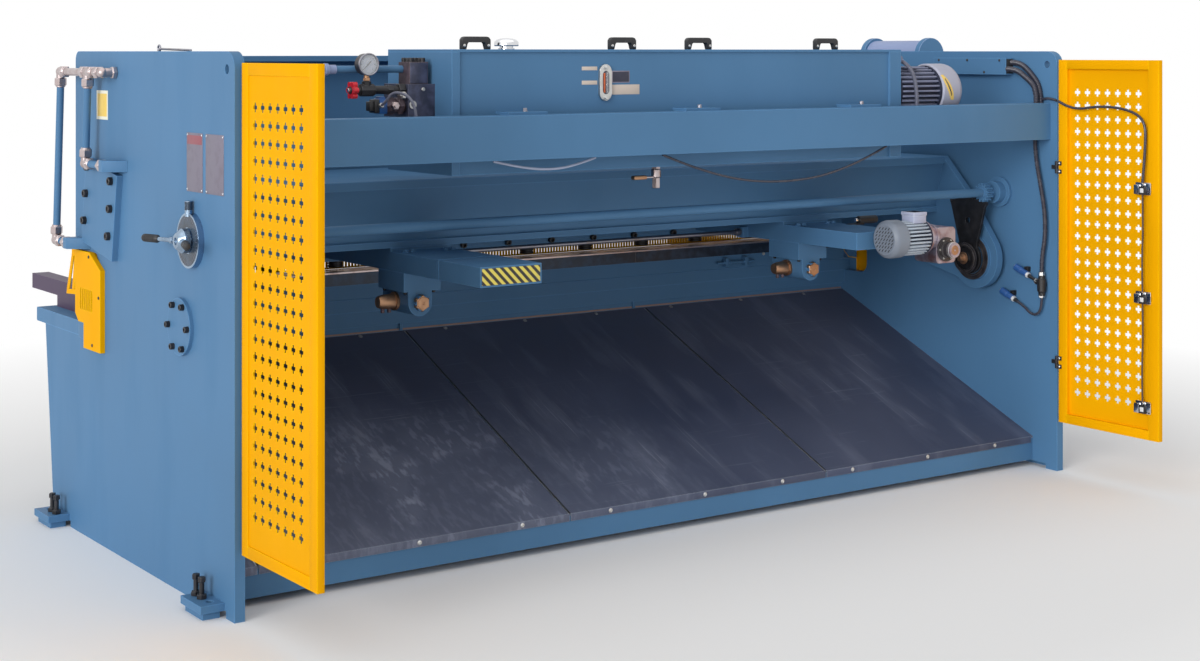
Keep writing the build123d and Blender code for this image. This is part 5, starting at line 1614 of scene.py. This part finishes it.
@dataclass
class GapDrive:
    """Dial, crank and sector fronts of the blade-gap drive."""

    axis: Pair = (285.0, 1035.0)
    hub_face: float = 1700.3
    dial_face: float = 1700.0
    lean: float = 17.0
    marks: int = 40

    def _crank(self) -> None:
        """Hub with two slim levers and ribbed grips."""
        hub = [
            (0.0, 32.0), (3.0, 36.0), (19.0, 36.0), (21.0, 34.0), (24.0, 31.0),
            (35.0, 22.0), (36.0, 20.5), (36.0, 11.0), (31.0, 10.0),
        ]
        steel = Shape().lathe(at(self.hub_face, *self.axis), RIGHT, hub, 40)
        grip = [(100.0, 8.0), (104.0, 10.5)]
        for start in range(108, 154, 9):
            grip += [(start, 12.0), (start + 5.5, 12.0), (start + 6.0, 10.8), (start + 8.5, 10.8)]
        grip += [(164.0, 11.5), (170.0, 8.5), (172.0, 4.0)]
        grips = Shape()
        base = at(self.hub_face + 18, *self.axis)
        for side in around(2):
            way = RIGHT * math.sin(math.radians(self.lean)) + side * math.cos(math.radians(self.lean))
            steel.rod(base + way * 0.020, base + way * 0.106, 6.8, 16)
            steel.rod(base + way * 0.034, base + way * 0.046, 10.0, 16)
            grips.lathe(base, way, grip, 20)
        steel.piece("crank", "bright_steel", "dial_steel", "gap_handle", body="gap_shaft")
        grips.piece("crank_grips", "black_plastic", body="gap_shaft")

    def _dial(self) -> None:
        """Dark face plate with graduation lines on the dial drum."""
        face = Shape().ring(at(self.dial_face, *self.axis), RIGHT, 38.0, 74.0, 0.2, 60)
        face.piece("dial_face", "black_steel", "dial_dark")
        marks = Shape()
        for index, way in enumerate(around(self.marks)):
            span = (62.0 if index % 5 else 56.0, 72.0)
            marks.dash(at(self.dial_face + 0.2, *self.axis), way, RIGHT, span, 0.5, 0.08)
        marks.piece("dial_marks", "bright_steel", "plate_alloy")
        knob = [(0.0, 7.0), (9.0, 7.0), (10.0, 11.4), (34.0, 11.4), (36.4, 9.0)]
        lock = Shape().lathe(at(1696, self.axis[0], 1113), UP, knob, 20)
        lock.piece("dial_lock_knob", "black_plastic", "dial_dark")

    def _sectors(self) -> None:
        """Lock rings and bronze tip in front of each sector's hub."""
        tip = [(0.0, 23.5), (3.0, 23.5), (5.0, 16.0), (17.0, 12.0), (24.5, 11.0), (25.0, 9.5)]
        for side, word in SIDES:
            body = f"gap_sector_{word}"
            hub = Shape()
            for outer, height in ((60.0, 5.0), (52.0, 9.0)):
                hub.ring(at(side * 1540.0, *PIVOT), LEFT * side, 46.0, outer, height, 40)
            hub.piece(f"sector_ring_{word}", "black_steel", "ring_steel", body=body)
            form = Shape().lathe(at(side * 1528.3, *PIVOT), LEFT * side, tip, 28)
            form.piece(f"sector_tip_{word}", "bright_steel", "bronze", body=body)

    def build(self) -> None:
        """Build the drive."""
        self._crank()
        self._dial()
        self._sectors()


@dataclass
class Tank:
    """Fittings of the oil tank: handles, breather, sight glass, bare plates and foot bolts."""

    bolts: Fasteners
    lid: float = 1586.0
    handle_x: tuple[float, ...] = (785.0, 222.0, -95.0, -668.0)
    handle_depth: float = 200.0
    face: float = 133.0
    sight: float = 340.0

    def _handles(self) -> None:
        """Moulded bridge handles with their screws, and the breather."""
        half = ((52, 0), (52, 30), (46, 38), (38, 40)), ((30, 24), (35, 18), (36, 0))
        outline = [(-x, z) for x, z in half[0]] + list(half[0][::-1])
        outline += list(half[1][::-1]) + [(-x, z) for x, z in half[1]]
        rear = self.handle_depth - 10
        form = Shape()
        for x in self.handle_x:
            form.prism([at(x + along, rear, self.lid + up) for along, up in outline], REAR * -0.020, 2.2)
        form.piece("lid_handles", "black_plastic", "", "lid_fittings")
        seats = [(at(x + along, rear, self.lid + 12), REAR) for x in self.handle_x for along in (-44, 44)]
        self.bolts.set_out(pan_screw(5.0, 2.0), seats, "handle_screws", "bright_steel", "zinc")
        cap = [
            (0.0, 26.0), (4.0, 26.0), (4.0, 22.0), (10.0, 22.0), (10.0, 37.0), (13.0, 39.0),
            (22.0, 39.0), (26.0, 36.5), (31.0, 30.0), (34.0, 20.0), (35.5, 8.0), (36.0, 0.0),
        ]
        Shape().lathe(at(670, self.handle_depth, self.lid), UP, cap, 36).piece("breather", "chrome")

    def _stadium(self, half: float, low: float, high: float, depth: float) -> list[Vector]:
        """Upright outline with round ends, on the sight glass's middle line.

        Args:
            half: half its width.
            low: its foot.
            high: its head.
            depth: depth of its plane.

        Returns:
            Its corners.
        """
        angles = [math.pi * step / 10 for step in range(11)]
        return [
            at(self.sight + sign * half * math.cos(a), depth, middle + sign * half * math.sin(a))
            for middle, sign in ((high - half, 1), (low + half, -1))
            for a in angles
        ]

    def _sight(self) -> None:
        """Sight glass body with its window, tube and nuts."""
        body = Shape().prism(self._stadium(23.5, 1420, 1539, self.face), REAR * 0.010, 2.0)
        body.piece("sight_body", "chrome", "zinc", "sight_glass")
        back = Shape().prism(self._stadium(12.5, 1442, 1517, self.face - 9.8), REAR * 0.0008, 0.2)
        back.piece("sight_back", "sight_plastic", "dark_label")
        line = Shape().block((344, 350), (120.6, 122.2), (1447, 1510), 0.3)
        line.piece("sight_line", "red_plastic", "orange_line")
        Shape().bar(338, 119.4, (1445, 1514), 4.6, 16).piece("sight_tube", "sight_plastic", "clear_cover")
        seats = [(at(self.sight, self.face - 10, z), REAR) for z in (1430.5, 1528.5)]
        self.bolts.set_out(hex_bolt(7.0, 5.0), seats, "sight_nuts", "chrome", "zinc")

    def _plates(self) -> None:
        """Bare plates beside the sight glass."""
        pale = Shape()
        for x, z in (((428, 368), (1519, 1531)), ((428, 368), (1473, 1486)), ((312, 200), (1440, 1472))):
            pale.block(x, (self.face, self.face - 0.8), z, 0.1)
        pale.piece("bare_strips", "sight_plastic", "pale_label")
        rim = Shape().block((310, 240), (self.face, self.face - 0.8), (1478, 1517), 0.2)
        rim.piece("bare_plate_rim", "bright_steel", "plate_alloy")
        field = Shape().block((307, 243), (self.face - 0.5, self.face - 1.2), (1481, 1514), 0.1)
        field.piece("bare_plate_field", "black_plastic", "dark_label")

    def build(self) -> None:
        """Build the fittings."""
        self._handles()
        self._sight()
        self._plates()
        seats = [(at(x, 96, 1393), UP) for x in (667, -20, -745)]
        self.bolts.set_out(hex_bolt(7.0, 9.0), seats, "tank_foot_bolts", "bright_steel", "shaft_steel")


@dataclass
class ValveGroup:
    """Manifold details, coil, gauge and shut-off on the end of the tank."""

    bolts: Fasteners
    gauge: Pair = (1136.0, 1540.0)
    shutoff: Pair = (255.0, 1462.0)
    coil: Pair = (262.0, 1412.0)

    def _gauge(self) -> None:
        """Dial, ticks, bezel, glass, bronze neck and hand of the pressure gauge."""
        x, z = self.gauge
        card = Shape().lathe(at(x, 245.9, z), REAR, [(0.0, 29.5), (0.4, 29.5)], 48)
        card.piece("gauge_card", "sight_plastic", "gauge_white")
        ticks = Shape()
        for index in range(31):
            angle = math.radians(-135 + 9 * index)
            inner, half = (23.5, 0.4) if index % 5 else (20.5, 0.7)
            way = Vector((math.sin(angle), 0, math.cos(angle)))
            ticks.dash(at(x, 245.5, z), way, REAR, (inner, 26.5), half, 0.2)
        ticks.piece("gauge_ticks", "black_plastic")
        rim = [(0.0, 33.2), (0.0, 34.0), (4.0, 35.0), (7.0, 34.2), (8.0, 32.0), (7.0, 30.0), (4.5, 29.8), (4.5, 33.2)]
        Shape().hoop(at(x, 245.0, z), REAR, rim).piece("gauge_bezel", "chrome", "shaft_steel")
        glass = Shape().lathe(at(x, 239.6, z), REAR, [(0.0, 30.2), (0.8, 30.2), (1.2, 0.0)], 40)
        glass.piece("gauge_glass", "sight_plastic", "clear_cover")
        neck = Shape().bar(x, 255, (1490, 1500), 11.5, 6, 1.0).bar(x, 255, (1498, 1508), 8.5, 16)
        neck.piece("gauge_neck", "bright_steel", "bronze")
        way = (RIGHT + DOWN).normalized()
        tail, side = at(x, 244.4, z) - way * 0.013, way.cross(REAR) * 0.00204
        hand = Shape().prism([tail - side, tail + way * 0.037, tail + side], REAR * 0.0012)
        hand.bar(x, (244.6, 242.4), z, 3.0, 20)
        hand.piece("needle_hand", "black_plastic", "", "gauge_needle", body="gauge_needle")

    def _shutoff(self) -> None:
        """Shut-off body with its hexes and the knob's centre."""
        body = Shape().bar(1136, self.shutoff[0], (self.shutoff[1], 1489), 15.0, 8, 1.5)
        for start, end, radius, sides in (
            (1007, 1030, 20.0, 6), (1050, 1068, 17.0, 6), (1112, 1160, 19.0, 8), (1160, 1172, 15.0, 6)
        ):
            body.bar((start, end), *self.shutoff, radius, sides, 1.5)
        body.piece("shutoff_body", "black_steel")
        Shape().bar((1190, 1194), *self.shutoff, 12.0, 24).piece("knob_disc", "black_plastic", body="shutoff_knob")
        nut = Shape().bar((1193, 1200), *self.shutoff, 7.0, 6)
        nut.piece("knob_nut", "bright_steel", "chrome", body="shutoff_knob")

    def _coil(self) -> None:
        """Blue coil, connector and plugs."""
        blue = Shape().block((1072, 1098), (239, 285), (1389, 1436), 3.0)
        blue.block((1076, 1094), (246, 278), (1434, 1442), 2.0).piece("coil", "switch_blue")
        cap = Shape().block((1097, 1114), (242, 282), (1392, 1433), 3.0)
        cap.block((1113, 1128), (248, 276), (1398, 1427), 2.5).piece("coil_cap", "black_plastic")
        stem = Shape().bar((1007, 1074), *self.coil, 22.0, 8, 2.0).bar((1014, 1030), *self.coil, 29.0, 6, 2.0)
        stem.bar((1040, 1062), *self.coil, 27.0, 6, 2.0, 30.0)
        stem.piece("coil_stem", "black_steel", "brown_block", "solenoid_valve")
        plugs = Shape().ring(at(992, 228, 1416), REAR, 6.5, 12.5, 4.0)
        plugs.bar(1030, (240, 214), 1446, 12.0, 6, 1.5).bar(1030, (222, 208), 1446, 9.0, 18)
        plugs.rod(at(1098, 238, 1414), at(1098, 226, 1417), 8.0, 6, 1.0).bar(955, (228, 224), 1463, 6.0, 14)
        plugs.piece("valve_plugs", "bright_steel", "zinc")
        # Painted shade: near-black disc in the plug's recess.
        Shape().bar(992, (228.2, 226.5), 1416, 6.4, 6).piece("plug_recess", "black_steel", "hole_shade")
        nut = Shape().bar(1051, (240, 222), 1414, 13.0, 6, 1.5).bar(1051, (224, 218), 1414, 8.0, 16)
        nut.piece("valve_nut", "bright_steel", "nickel_fitting")

    def build(self) -> None:
        """Build the group."""
        self._gauge()
        self._shutoff()
        self._coil()
        seats = [(at(x, depth, 1547), UP) for x in (943, 984) for depth in (252, 272, 296)]
        self.bolts.set_out(cap_screw(8.0, 13.0), seats, "valve_screws", "black_steel")
        Shape().block((933, 994), (240.0, 238.8), (1481, 1545), 0.2).piece("valve_face", "black_steel", "dark_block")


@dataclass
class PumpMotor:
    """Finned pump motor on the end of the tank."""

    depth: float = 215.0
    z: float = 1435.0
    start: float = -964.0
    fins: int = 30

    def _strips(self, origin: Vector) -> None:
        """Bare oval strip and dark slot bent round the fan cover.

        Args:
            origin: start of the motor's axis.
        """
        for name, slot, finish, steps, half, lift in (
            ("fan_cover_strip", "yellow_paint", "yellow_label", 12, 0.0125, 0.0988),
            ("fan_cover_slot", "black_plastic", "dark_label", 8, 0.0030, 0.0992),
        ):
            strip = Shape()
            for step in range(steps):
                share = (step + 0.5) / steps - 0.5
                angle = math.radians(82.0 + 4.6 * steps * share)
                way = Vector((0, math.sin(angle), math.cos(angle)))
                middle = origin + LEFT * (0.236 + 0.0034 * steps * share) + way * lift
                along = way.cross(LEFT) * 0.0044
                across = LEFT * half * math.sqrt(1.0 - (1.8 * share) ** 2)
                corners = ((-1, -1), (1, -1), (1, 1), (-1, 1))
                strip.prism([middle + along * a + across * b for a, b in corners], way * 0.0009)
            strip.piece(name, slot, finish)

    def build(self) -> None:
        """Build the motor."""
        origin = at(self.start, self.depth, self.z)
        core = [(0.0, 86.0), (14.0, 86.0), (16.0, 76.0), (196.0, 76.0), (198.0, 92.0), (212.0, 92.0)]
        # Core between the fins in near-black paint: painted shade between the fins.
        Shape().lathe(origin, LEFT, core, 48).piece("pump_motor_core", "motor_grey", "fin_gap_shade")
        body = Shape().bar((-964.4, -988), 150, 1550, 15.0, 6, 2.0)
        for way in around(self.fins):
            body.dash(origin + LEFT * 0.016, way, LEFT, (74.4, 89.6), 3.2, 182.0, 0.8)
        body.block((-1010, -1090), (140, 196), (1518, 1522))
        body.piece("pump_motor_fins", "motor_grey", "", "pump_motor")
        cover = [
            (208.0, 95.0), (212.0, 99.0), (288.0, 99.0), (300.0, 96.0), (314.0, 86.0), (324.0, 70.0), (328.0, 62.0)
        ]
        Shape().lathe(origin, LEFT, cover, 56).piece("pump_fan_cover", "motor_light", "fan_cover_grey")
        self._strips(origin)


@dataclass
class GaugeDrive:
    """Back-gauge motor, gearbox fittings, carriage ends and the striped rail end."""

    bolts: Fasteners
    depth: float = 82.0
    z: float = 910.0
    end: float = -1072.0
    fins: int = 28
    slot_rise: float = 13.0
    screw_z: float = 769.0
    body: str = "swing_beam"

    def _motor(self) -> None:
        """Pale motor with bell housing, ribs, fan cover and terminal box."""
        origin = at(self.end, self.depth, self.z)
        bell = [(0.0, 44.0), (8.0, 44.0), (10.0, 40.0), (26.0, 40.0), (32.0, 52.0), (40.0, 60.0), (52.0, 60.0)]
        Shape().lathe(origin, RIGHT, bell, 40).piece("gear_motor_bell", "gear_cast", body=self.body)
        core = Shape().lathe(origin, RIGHT, [(50.0, 62.0), (62.0, 62.0), (64.0, 53.0), (172.0, 53.0)], 40)
        # Core between the fins in near-black paint: painted shade between the fins.
        core.piece("gear_motor_core", "motor_light", "fin_gap_shade", body=self.body)
        fins = Shape()
        for way in around(self.fins):
            fins.dash(origin + RIGHT * 0.058, way, RIGHT, (50.0, 62.5), 3.0, 112.0, 0.6)
        fins.piece("gear_motor_fins", "motor_light", "", "gear_motor", body=self.body)
        rim = [(166.0, 66.0), (168.0, 68.0), (212.0, 68.0), (219.0, 66.5), (225.0, 62.0), (228.0, 57.0), (231.0, 54.0)]
        cover = Shape().lathe(origin, RIGHT, rim, 48)
        cover.piece("gear_motor_cover", "motor_light", "motor_end", body=self.body)
        box = Shape().block((-1018, -956), (51, 113), (962, 1003), 3.0)
        box.block((-1020, -954), (49, 115), (990, 1003), 2.0)
        box.piece("gear_motor_box", "motor_light", "box_silver", body=self.body)

    def _slots(self) -> None:
        """Slanting slots in the end of the motor's fan cover, drawn as near-black painted shade."""
        slots = Shape()
        for row in range(-3, 4):
            half = math.sqrt(50.0**2 - (row * self.slot_rise) ** 2)
            count = int(2 * half // 14)
            for index in range(count):
                depth = self.depth - half + (index + 0.5) * 2 * half / count
                z = self.z + row * self.slot_rise
                corners = ((-6, -4.5), (-2, -4.5), (6, 4.5), (2, 4.5))
                slots.prism([at(-841.4, depth - along, z + up) for along, up in corners], RIGHT * 0.001)
        slots.piece("fan_slots", "black_plastic", "hole_shade", body=self.body)

    def _gearbox(self) -> None:
        """Cover, output parts and screws of the worm gearbox."""
        middle = at(-1120, 55, 862)
        for name, slot, finish, sides, profile in (
            ("gearbox_flange", "black_steel", "ring_steel", 36, (
                (0.0, 44.0), (5.0, 44.0), (6.0, 34.0), (12.0, 34.0), (14.0, 28.5), (30.0, 28.5)
            )),
            ("output_collar", "bright_steel", "zinc", 32, (
                (29.0, 28.0), (31.0, 29.0), (40.0, 29.0), (41.0, 27.5)
            )),
            ("output_disc", "bright_steel", "bronze", 28, (
                (40.5, 18.0), (46.0, 18.0), (47.0, 16.5), (47.0, 4.0), (45.0, 3.0)
            )),
        ):
            Shape().lathe(middle, REAR, profile, sides).piece(name, slot, finish, body=self.body)
        seats = [(middle + RIGHT * 0.036 * way.y + UP * 0.036 * way.z + REAR * 0.005, REAR) for way in around(6)]
        self.bolts.set_out(cap_screw(4.0, 4.0), seats, "gearbox_screws", "bright_steel", "zinc", self.body)
        ribs = Shape().block((-1171, -1166), (70, 150), (826, 928), 2.0)
        for z in (824, 930):
            ribs.block((-1166, -1074), (60, 160), (z - 4, z + 4), 1.5)
        ribs.piece("gearbox_ribs", "gear_cast", body=self.body)

    def _carriages(self) -> None:
        """Bronze nut faces, stubs and clamp screws of the two carriages."""
        for word, face in RAIL_FACES:
            body = f"gauge_carriage_{word}"
            x = face - 60
            nut = Shape().bar(x, (480, 461), self.screw_z, 27.6, 6, 3.0, 30.0)
            nut.lathe(at(x, 461, self.screw_z), REAR, [(-1.0, 20.0), (1.5, 19.0), (1.5, 5.0), (-0.5, 4.0)])
            nut.piece(f"barrel_nut_{word}", "bright_steel", "bronze", body=body)
            form = [(0.0, 30.0), (9.0, 30.0), (10.0, 25.0), (40.0, 24.0), (60.0, 21.0), (66.5, 18.0)]
            stub = Shape().lathe(at(x + 43, 565, self.screw_z), RIGHT, form, 28)
            stub.piece(f"stop_stub_{word}", "bright_steel", "bronze", body=body)
            seats = [(at(x + along, 565, 747), DOWN) for along in (67, 91)]
            self.bolts.set_out(cap_screw(6.5, 14.0), seats, f"stub_screws_{word}", "black_steel", "brown_block", body)
            seats = [(at(face + dx, depth, 806), DOWN) for dx in (-118, -14) for depth in (496, 634)]
            self.bolts.set_out(cap_screw(6.0, 9.0), seats, f"carriage_screws_{word}", "black_steel", body=body)

    def build(self) -> None:
        """Build the drive."""
        self._motor()
        self._slots()
        self._gearbox()
        self._carriages()
        plate = Shape().block((668, 876), (10.0, 8.6), (874, 924.5), 0.2)
        plate.piece("striped_plate", "yellow_paint", "hazard", body=self.body)
        band = Shape()
        for x, low in (((660.5, 883.5), 929.8), ((660.5, 662.2), 868.6), ((881.8, 883.5), 868.6)):
            band.block(x, (256, 268), (low, 931.5), 0.4)
        band.piece("rail_band", "blue_paint", body=self.body)


@dataclass
class Switches:
    """Stroke switches with collars, nuts and tee on the left frame."""

    x: float = -1628.0
    lean: float = 23.0
    spots: tuple[Pair, Pair] = ((150.0, 738.0), (222.0, 640.0))
    tee: Pair = (56.0, 698.0)

    def build(self) -> None:
        """Build the switches."""
        way = Vector((0, -math.cos(math.radians(self.lean)), math.sin(math.radians(self.lean))))
        blue, white, steel, black, mounts = (Shape() for _ in range(5))
        case = [(-22.0, 10.5), (-20.0, 12.0), (6.0, 12.0), (8.0, 14.0), (38.0, 14.0), (41.0, 11.0), (44.0, 7.0)]
        for depth, z in self.spots:
            for form, profile, sides in (
                (blue, case, 20),
                (white, [(-32.0, 11.0), (-21.0, 11.0)], 6),
                (black, [(-47.5, 6.5), (-31.0, 7.5)], 16),
                (steel, [(40.0, 5.0), (47.0, 5.0)], 14),
            ):
                form.lathe(at(self.x, depth, z), way, profile, sides)
            mounts.block((self.x - 2, -HALF_WIDTH), (depth - 20, depth - 4), (z + 2, z + 20), 1.5)
        depth, z = self.tee
        foot = at(self.x, depth, z - 43)
        form = [(0.0, 12.0), (14.0, 13.0), (18.0, 17.0), (62.0, 17.0), (66.0, 13.0), (78.0, 12.0)]
        black.lathe(foot, UP, form, 24)
        middle = at(self.x, depth, z)
        reach = at(self.x, *self.spots[0]) - way * 0.0475 - middle
        black.rod(middle, middle + reach * 0.5, 11.0, 18)
        black.rod(middle, middle + reach + reach.normalized() * 0.004, 6.0, 16)
        steel.rod(middle + reach * 0.42, middle + reach * 0.62, 11.5, 6)
        for start, stop in ((-0.006, 0.008), (0.076, 0.090)):
            steel.rod(foot + UP * start, foot + UP * stop, 12.5, 6)
        black.block((self.x, -HALF_WIDTH), (depth - 8, depth + 8), (z - 8, z + 8), 1.5)
        blue.piece("switch_bodies", "switch_blue", "", "stroke_switches")
        white.piece("switch_collars", "sight_plastic")
        steel.piece("switch_nuts", "bright_steel", "zinc")
        black.piece("switch_glands", "black_plastic")
        mounts.piece("switch_mounts", "blue_paint", "black_steel")


@dataclass
class Pipes:
    """Fittings and ports of the outside pipes, the tank's drain and the return pipe's union."""

    x: float = 1727.0
    top: float = 1513.0
    entry: float = 894.0
    tee: float = 1020.0
    corner: float = 1271.0
    front: Pair = (1315.0, 956.0)
    lower: Pair = (1043.0, 1222.0)
    ports: tuple[Pair, Pair] = ((862.0, 1222.0), (1185.0, 956.0))
    ball: float = 16.6

    def _unions(self) -> None:
        """Elbows, hex unions and the sleeves of the pipes along the top."""
        entry, tee, corner = ((depth, self.top) for depth in (self.entry, self.tee, self.corner))
        runs = (
            (entry, tee), (tee, corner), (corner, self.front), (self.front, self.ports[1]),
            (tee, self.lower), (self.lower, self.ports[0]),
        )
        form = Shape()
        for start, stop in runs:
            first, last = at(self.x, *start), at(self.x, *stop)
            way = (last - first).normalized()
            if start[1] == stop[1] == self.top:
                form.rod(first, last, 12.6, 20)
            for point, along in ((first, way), (last, -way)):
                form.rod(point, point + along * 0.022, 14.5, 20)
                form.rod(point + along * 0.020, point + along * 0.046, 20.4, 6, 2.6)
                form.rod(point + along * 0.043, point + along * 0.051, 15.5, 18, 1.5)
        turns = [math.pi * k / 12 - math.pi / 2 for k in range(13)]
        ball = [(self.ball * math.sin(a), self.ball * math.cos(a)) for a in turns]
        for spot in dict.fromkeys(spot for run in runs for spot in run):
            form.lathe(at(self.x, *spot), RIGHT, ball, 20)
        form.bar((OUTER_X, self.x), *entry, 15.0, 20).bar((OUTER_X, OUTER_X + 16), *entry, 20.4, 6, 2.6)
        form.piece("pipe_unions", "bright_steel", "nickel_fitting", "pipe_fittings")

    def build(self) -> None:
        """Build the pieces."""
        self._unions()
        blocks = Shape()
        plan = ((1745.0, 18.0), (1745.0, -14.0), (OUTER_X, -66.0), (OUTER_X, 18.0))
        for depth, z in self.ports:
            blocks.prism([at(x, depth + along, z - 18) for x, along in plan], UP * 0.036, 2.5)
        blocks.piece("pipe_ports", "blue_paint")
        drain = Shape().block((-18, 38), (322.6, 337.4), (1148.6, 1154.4), 1.6)
        for z, radius, sides, chamfer in (
            ((1200, 1178), 15.5, 6, 1.5), ((1150, 1113), 14.0, 6, 2.0), ((1178, 1150), 17.0, 20, 2.0)
        ):
            drain.bar(-14, 330, z, radius, sides, chamfer)
        drain.piece("drain_valve", "bright_steel", "nickel_fitting")
        lever = Shape().block((30, 84), (319.6, 340.4), (1144.6, 1158.4), 3.0)
        lever.piece("drain_lever", "bright_steel", "bronze")
        clamp = Shape().ring(at(1226, 288, 1525), RIGHT, 11.0, 14.0, 34.0, 28)
        clamp.ring(at(1252, 288, 1525), RIGHT, 11.0, 18.5, 12.0, 28).piece("return_union", "grey_paint")
        discs = Shape()
        for near in (780.0, 1105.0):
            discs.bar(-1768, (near - 0.3, near + 25.3), 1562, 73.3, 48, 1.5)
        discs.piece("drum_discs", "blue_paint")


@dataclass
class Duct:
    """End opening, drawn as near-black painted shade, and screws of the cable duct."""

    bolts: Fasteners
    screws: tuple[Pair, ...] = ((250.0, 1545.0), (420.0, 1545.0), (575.0, 1545.0), (330.0, 1499.0))

    def build(self) -> None:
        """Build the details."""
        # Painted shade: near-black face for the duct's opening.
        end = Shape().block((-1646, -1610), (218.0, 216.8), (1494, 1550), 0.3)
        end.piece("duct_opening", "black_plastic", "hole_shade")
        seats = [(at(-1606, *spot), RIGHT) for spot in self.screws]
        self.bolts.set_out(pan_screw(5.0, 3.0), seats, "duct_screws", "black_steel")


@dataclass
class Studio:
    """Pale floor, white surround, soft light and the camera."""

    eye: Triple = (3.8737, 5.6497, 1.580)
    heading: float = 145.0
    lens: float = 57.19
    shift: float = -0.2327
    white: tuple[float, ...] = (1.0, 1.0, 1.0, 1.0)
    surround: float = 0.36

    def _floor(self) -> None:
        """Floor that keeps the shadow near the machine and fades to white."""
        form = bmesh.new()
        bmesh.ops.create_grid(form, x_segments=1, y_segments=1, size=40.0)
        data = bpy.data.meshes.new("floor")
        form.to_mesh(data)
        form.free()
        graph = Graph("floor_white")
        graph.shade(Base_Color=(0.93, 0.93, 0.93), Roughness=0.9, Specular_IOR_Level=0.1)
        middle = graph.node("ShaderNodeTexCoord", out="Object")
        far = graph.node("ShaderNodeVectorMath", {0: middle}, "Value", operation="LENGTH")
        glow = graph.node("ShaderNodeEmission", {"Color": self.white, "Strength": 1.0})
        sockets = {0: graph.between(far, 2.2, 4.6), 1: graph.shader, 2: glow}
        graph.feed(graph.surface, graph.node("ShaderNodeMixShader", sockets))
        data.materials.append(graph.material)
        link("floor", data)

    def _world(self) -> None:
        """White surround, dimmer where it only lights the machine."""
        world = bpy.context.scene.world = bpy.data.worlds.new("surround")
        world.use_nodes = True
        graph = Nodes(world.node_tree)
        kinds = ("Camera", "Glossy", "Transmission")
        rays = [graph.node("ShaderNodeLightPath", out=f"Is {kind} Ray") for kind in kinds]
        sockets = {"Value": rays[0] | rays[1] | rays[2], "To Min": self.surround, "To Max": 1.0}
        level = graph.node("ShaderNodeMapRange", sockets)
        back = graph.node("ShaderNodeBackground", {"Color": self.white, "Strength": level})
        graph.feed(graph.tree.nodes.new("ShaderNodeOutputWorld").inputs[0], back)

    def _lamps(self) -> None:
        """One wide key lamp, a weaker fill and soft light from above."""
        for name, way, strength, angle in (
            ("key", (0.84, 0.36, 0.20), 1.85, 30.0),
            ("fill", (0.74, 0.66, 0.10), 0.35, 40.0),
            ("top", (0.10, 0.20, 0.97), 1.0, 90.0),
        ):
            lamp = bpy.data.lights.new(name, "SUN")
            lamp.energy = strength
            lamp.angle = math.radians(angle)
            link(name, lamp).rotation_euler = Vector(way).to_track_quat("Z", "Y").to_euler()

    def _camera(self) -> None:
        """Camera at the photograph's place."""
        camera = bpy.data.cameras.new("camera")
        camera.sensor_width = 36.0
        camera.lens = self.lens
        camera.shift_y = self.shift
        holder = link("camera", camera)
        holder.location = self.eye
        holder.rotation_euler = (math.radians(90.0), 0.0, math.radians(self.heading))
        bpy.context.scene.camera = holder

    def build(self) -> None:
        """Build the studio."""
        bpy.context.scene.view_settings.view_transform = "Standard"
        self._floor()
        self._world()
        self._lamps()
        self._camera()


def dress_nodes() -> None:
    """Give every CAD node its finish by its slot or its own name."""
    slots = {row["node"]: row["material_slot"] for row in frame["record"]["subparts"]}
    for name, node in frame["nodes"].items():
        for slot in node.material_slots:
            slot.material = finishes[NODE_FINISH.get(name, finish_of(slots[name]))]


def main() -> None:
    """Build the machine's looks in order."""
    logging.basicConfig(level=logging.INFO, format="%(name)s: %(message)s")
    for name, finish in FINISHES.items():
        finishes[name] = finish.make(name)
    dress_nodes()
    Studio().build()
    bolts = Fasteners()
    for assembly in (
        Cords(RibbedTube()), Doors(bolts), SideFrames(bolts), Slide(bolts), BeamFittings(bolts), ClampLine(bolts),
        GapDrive(), Tank(bolts), ValveGroup(bolts), PumpMotor(), GaugeDrive(bolts), Switches(), Pipes(), Duct(bolts),
    ):
        assembly.build()


if __name__ == "__main__":
    main()
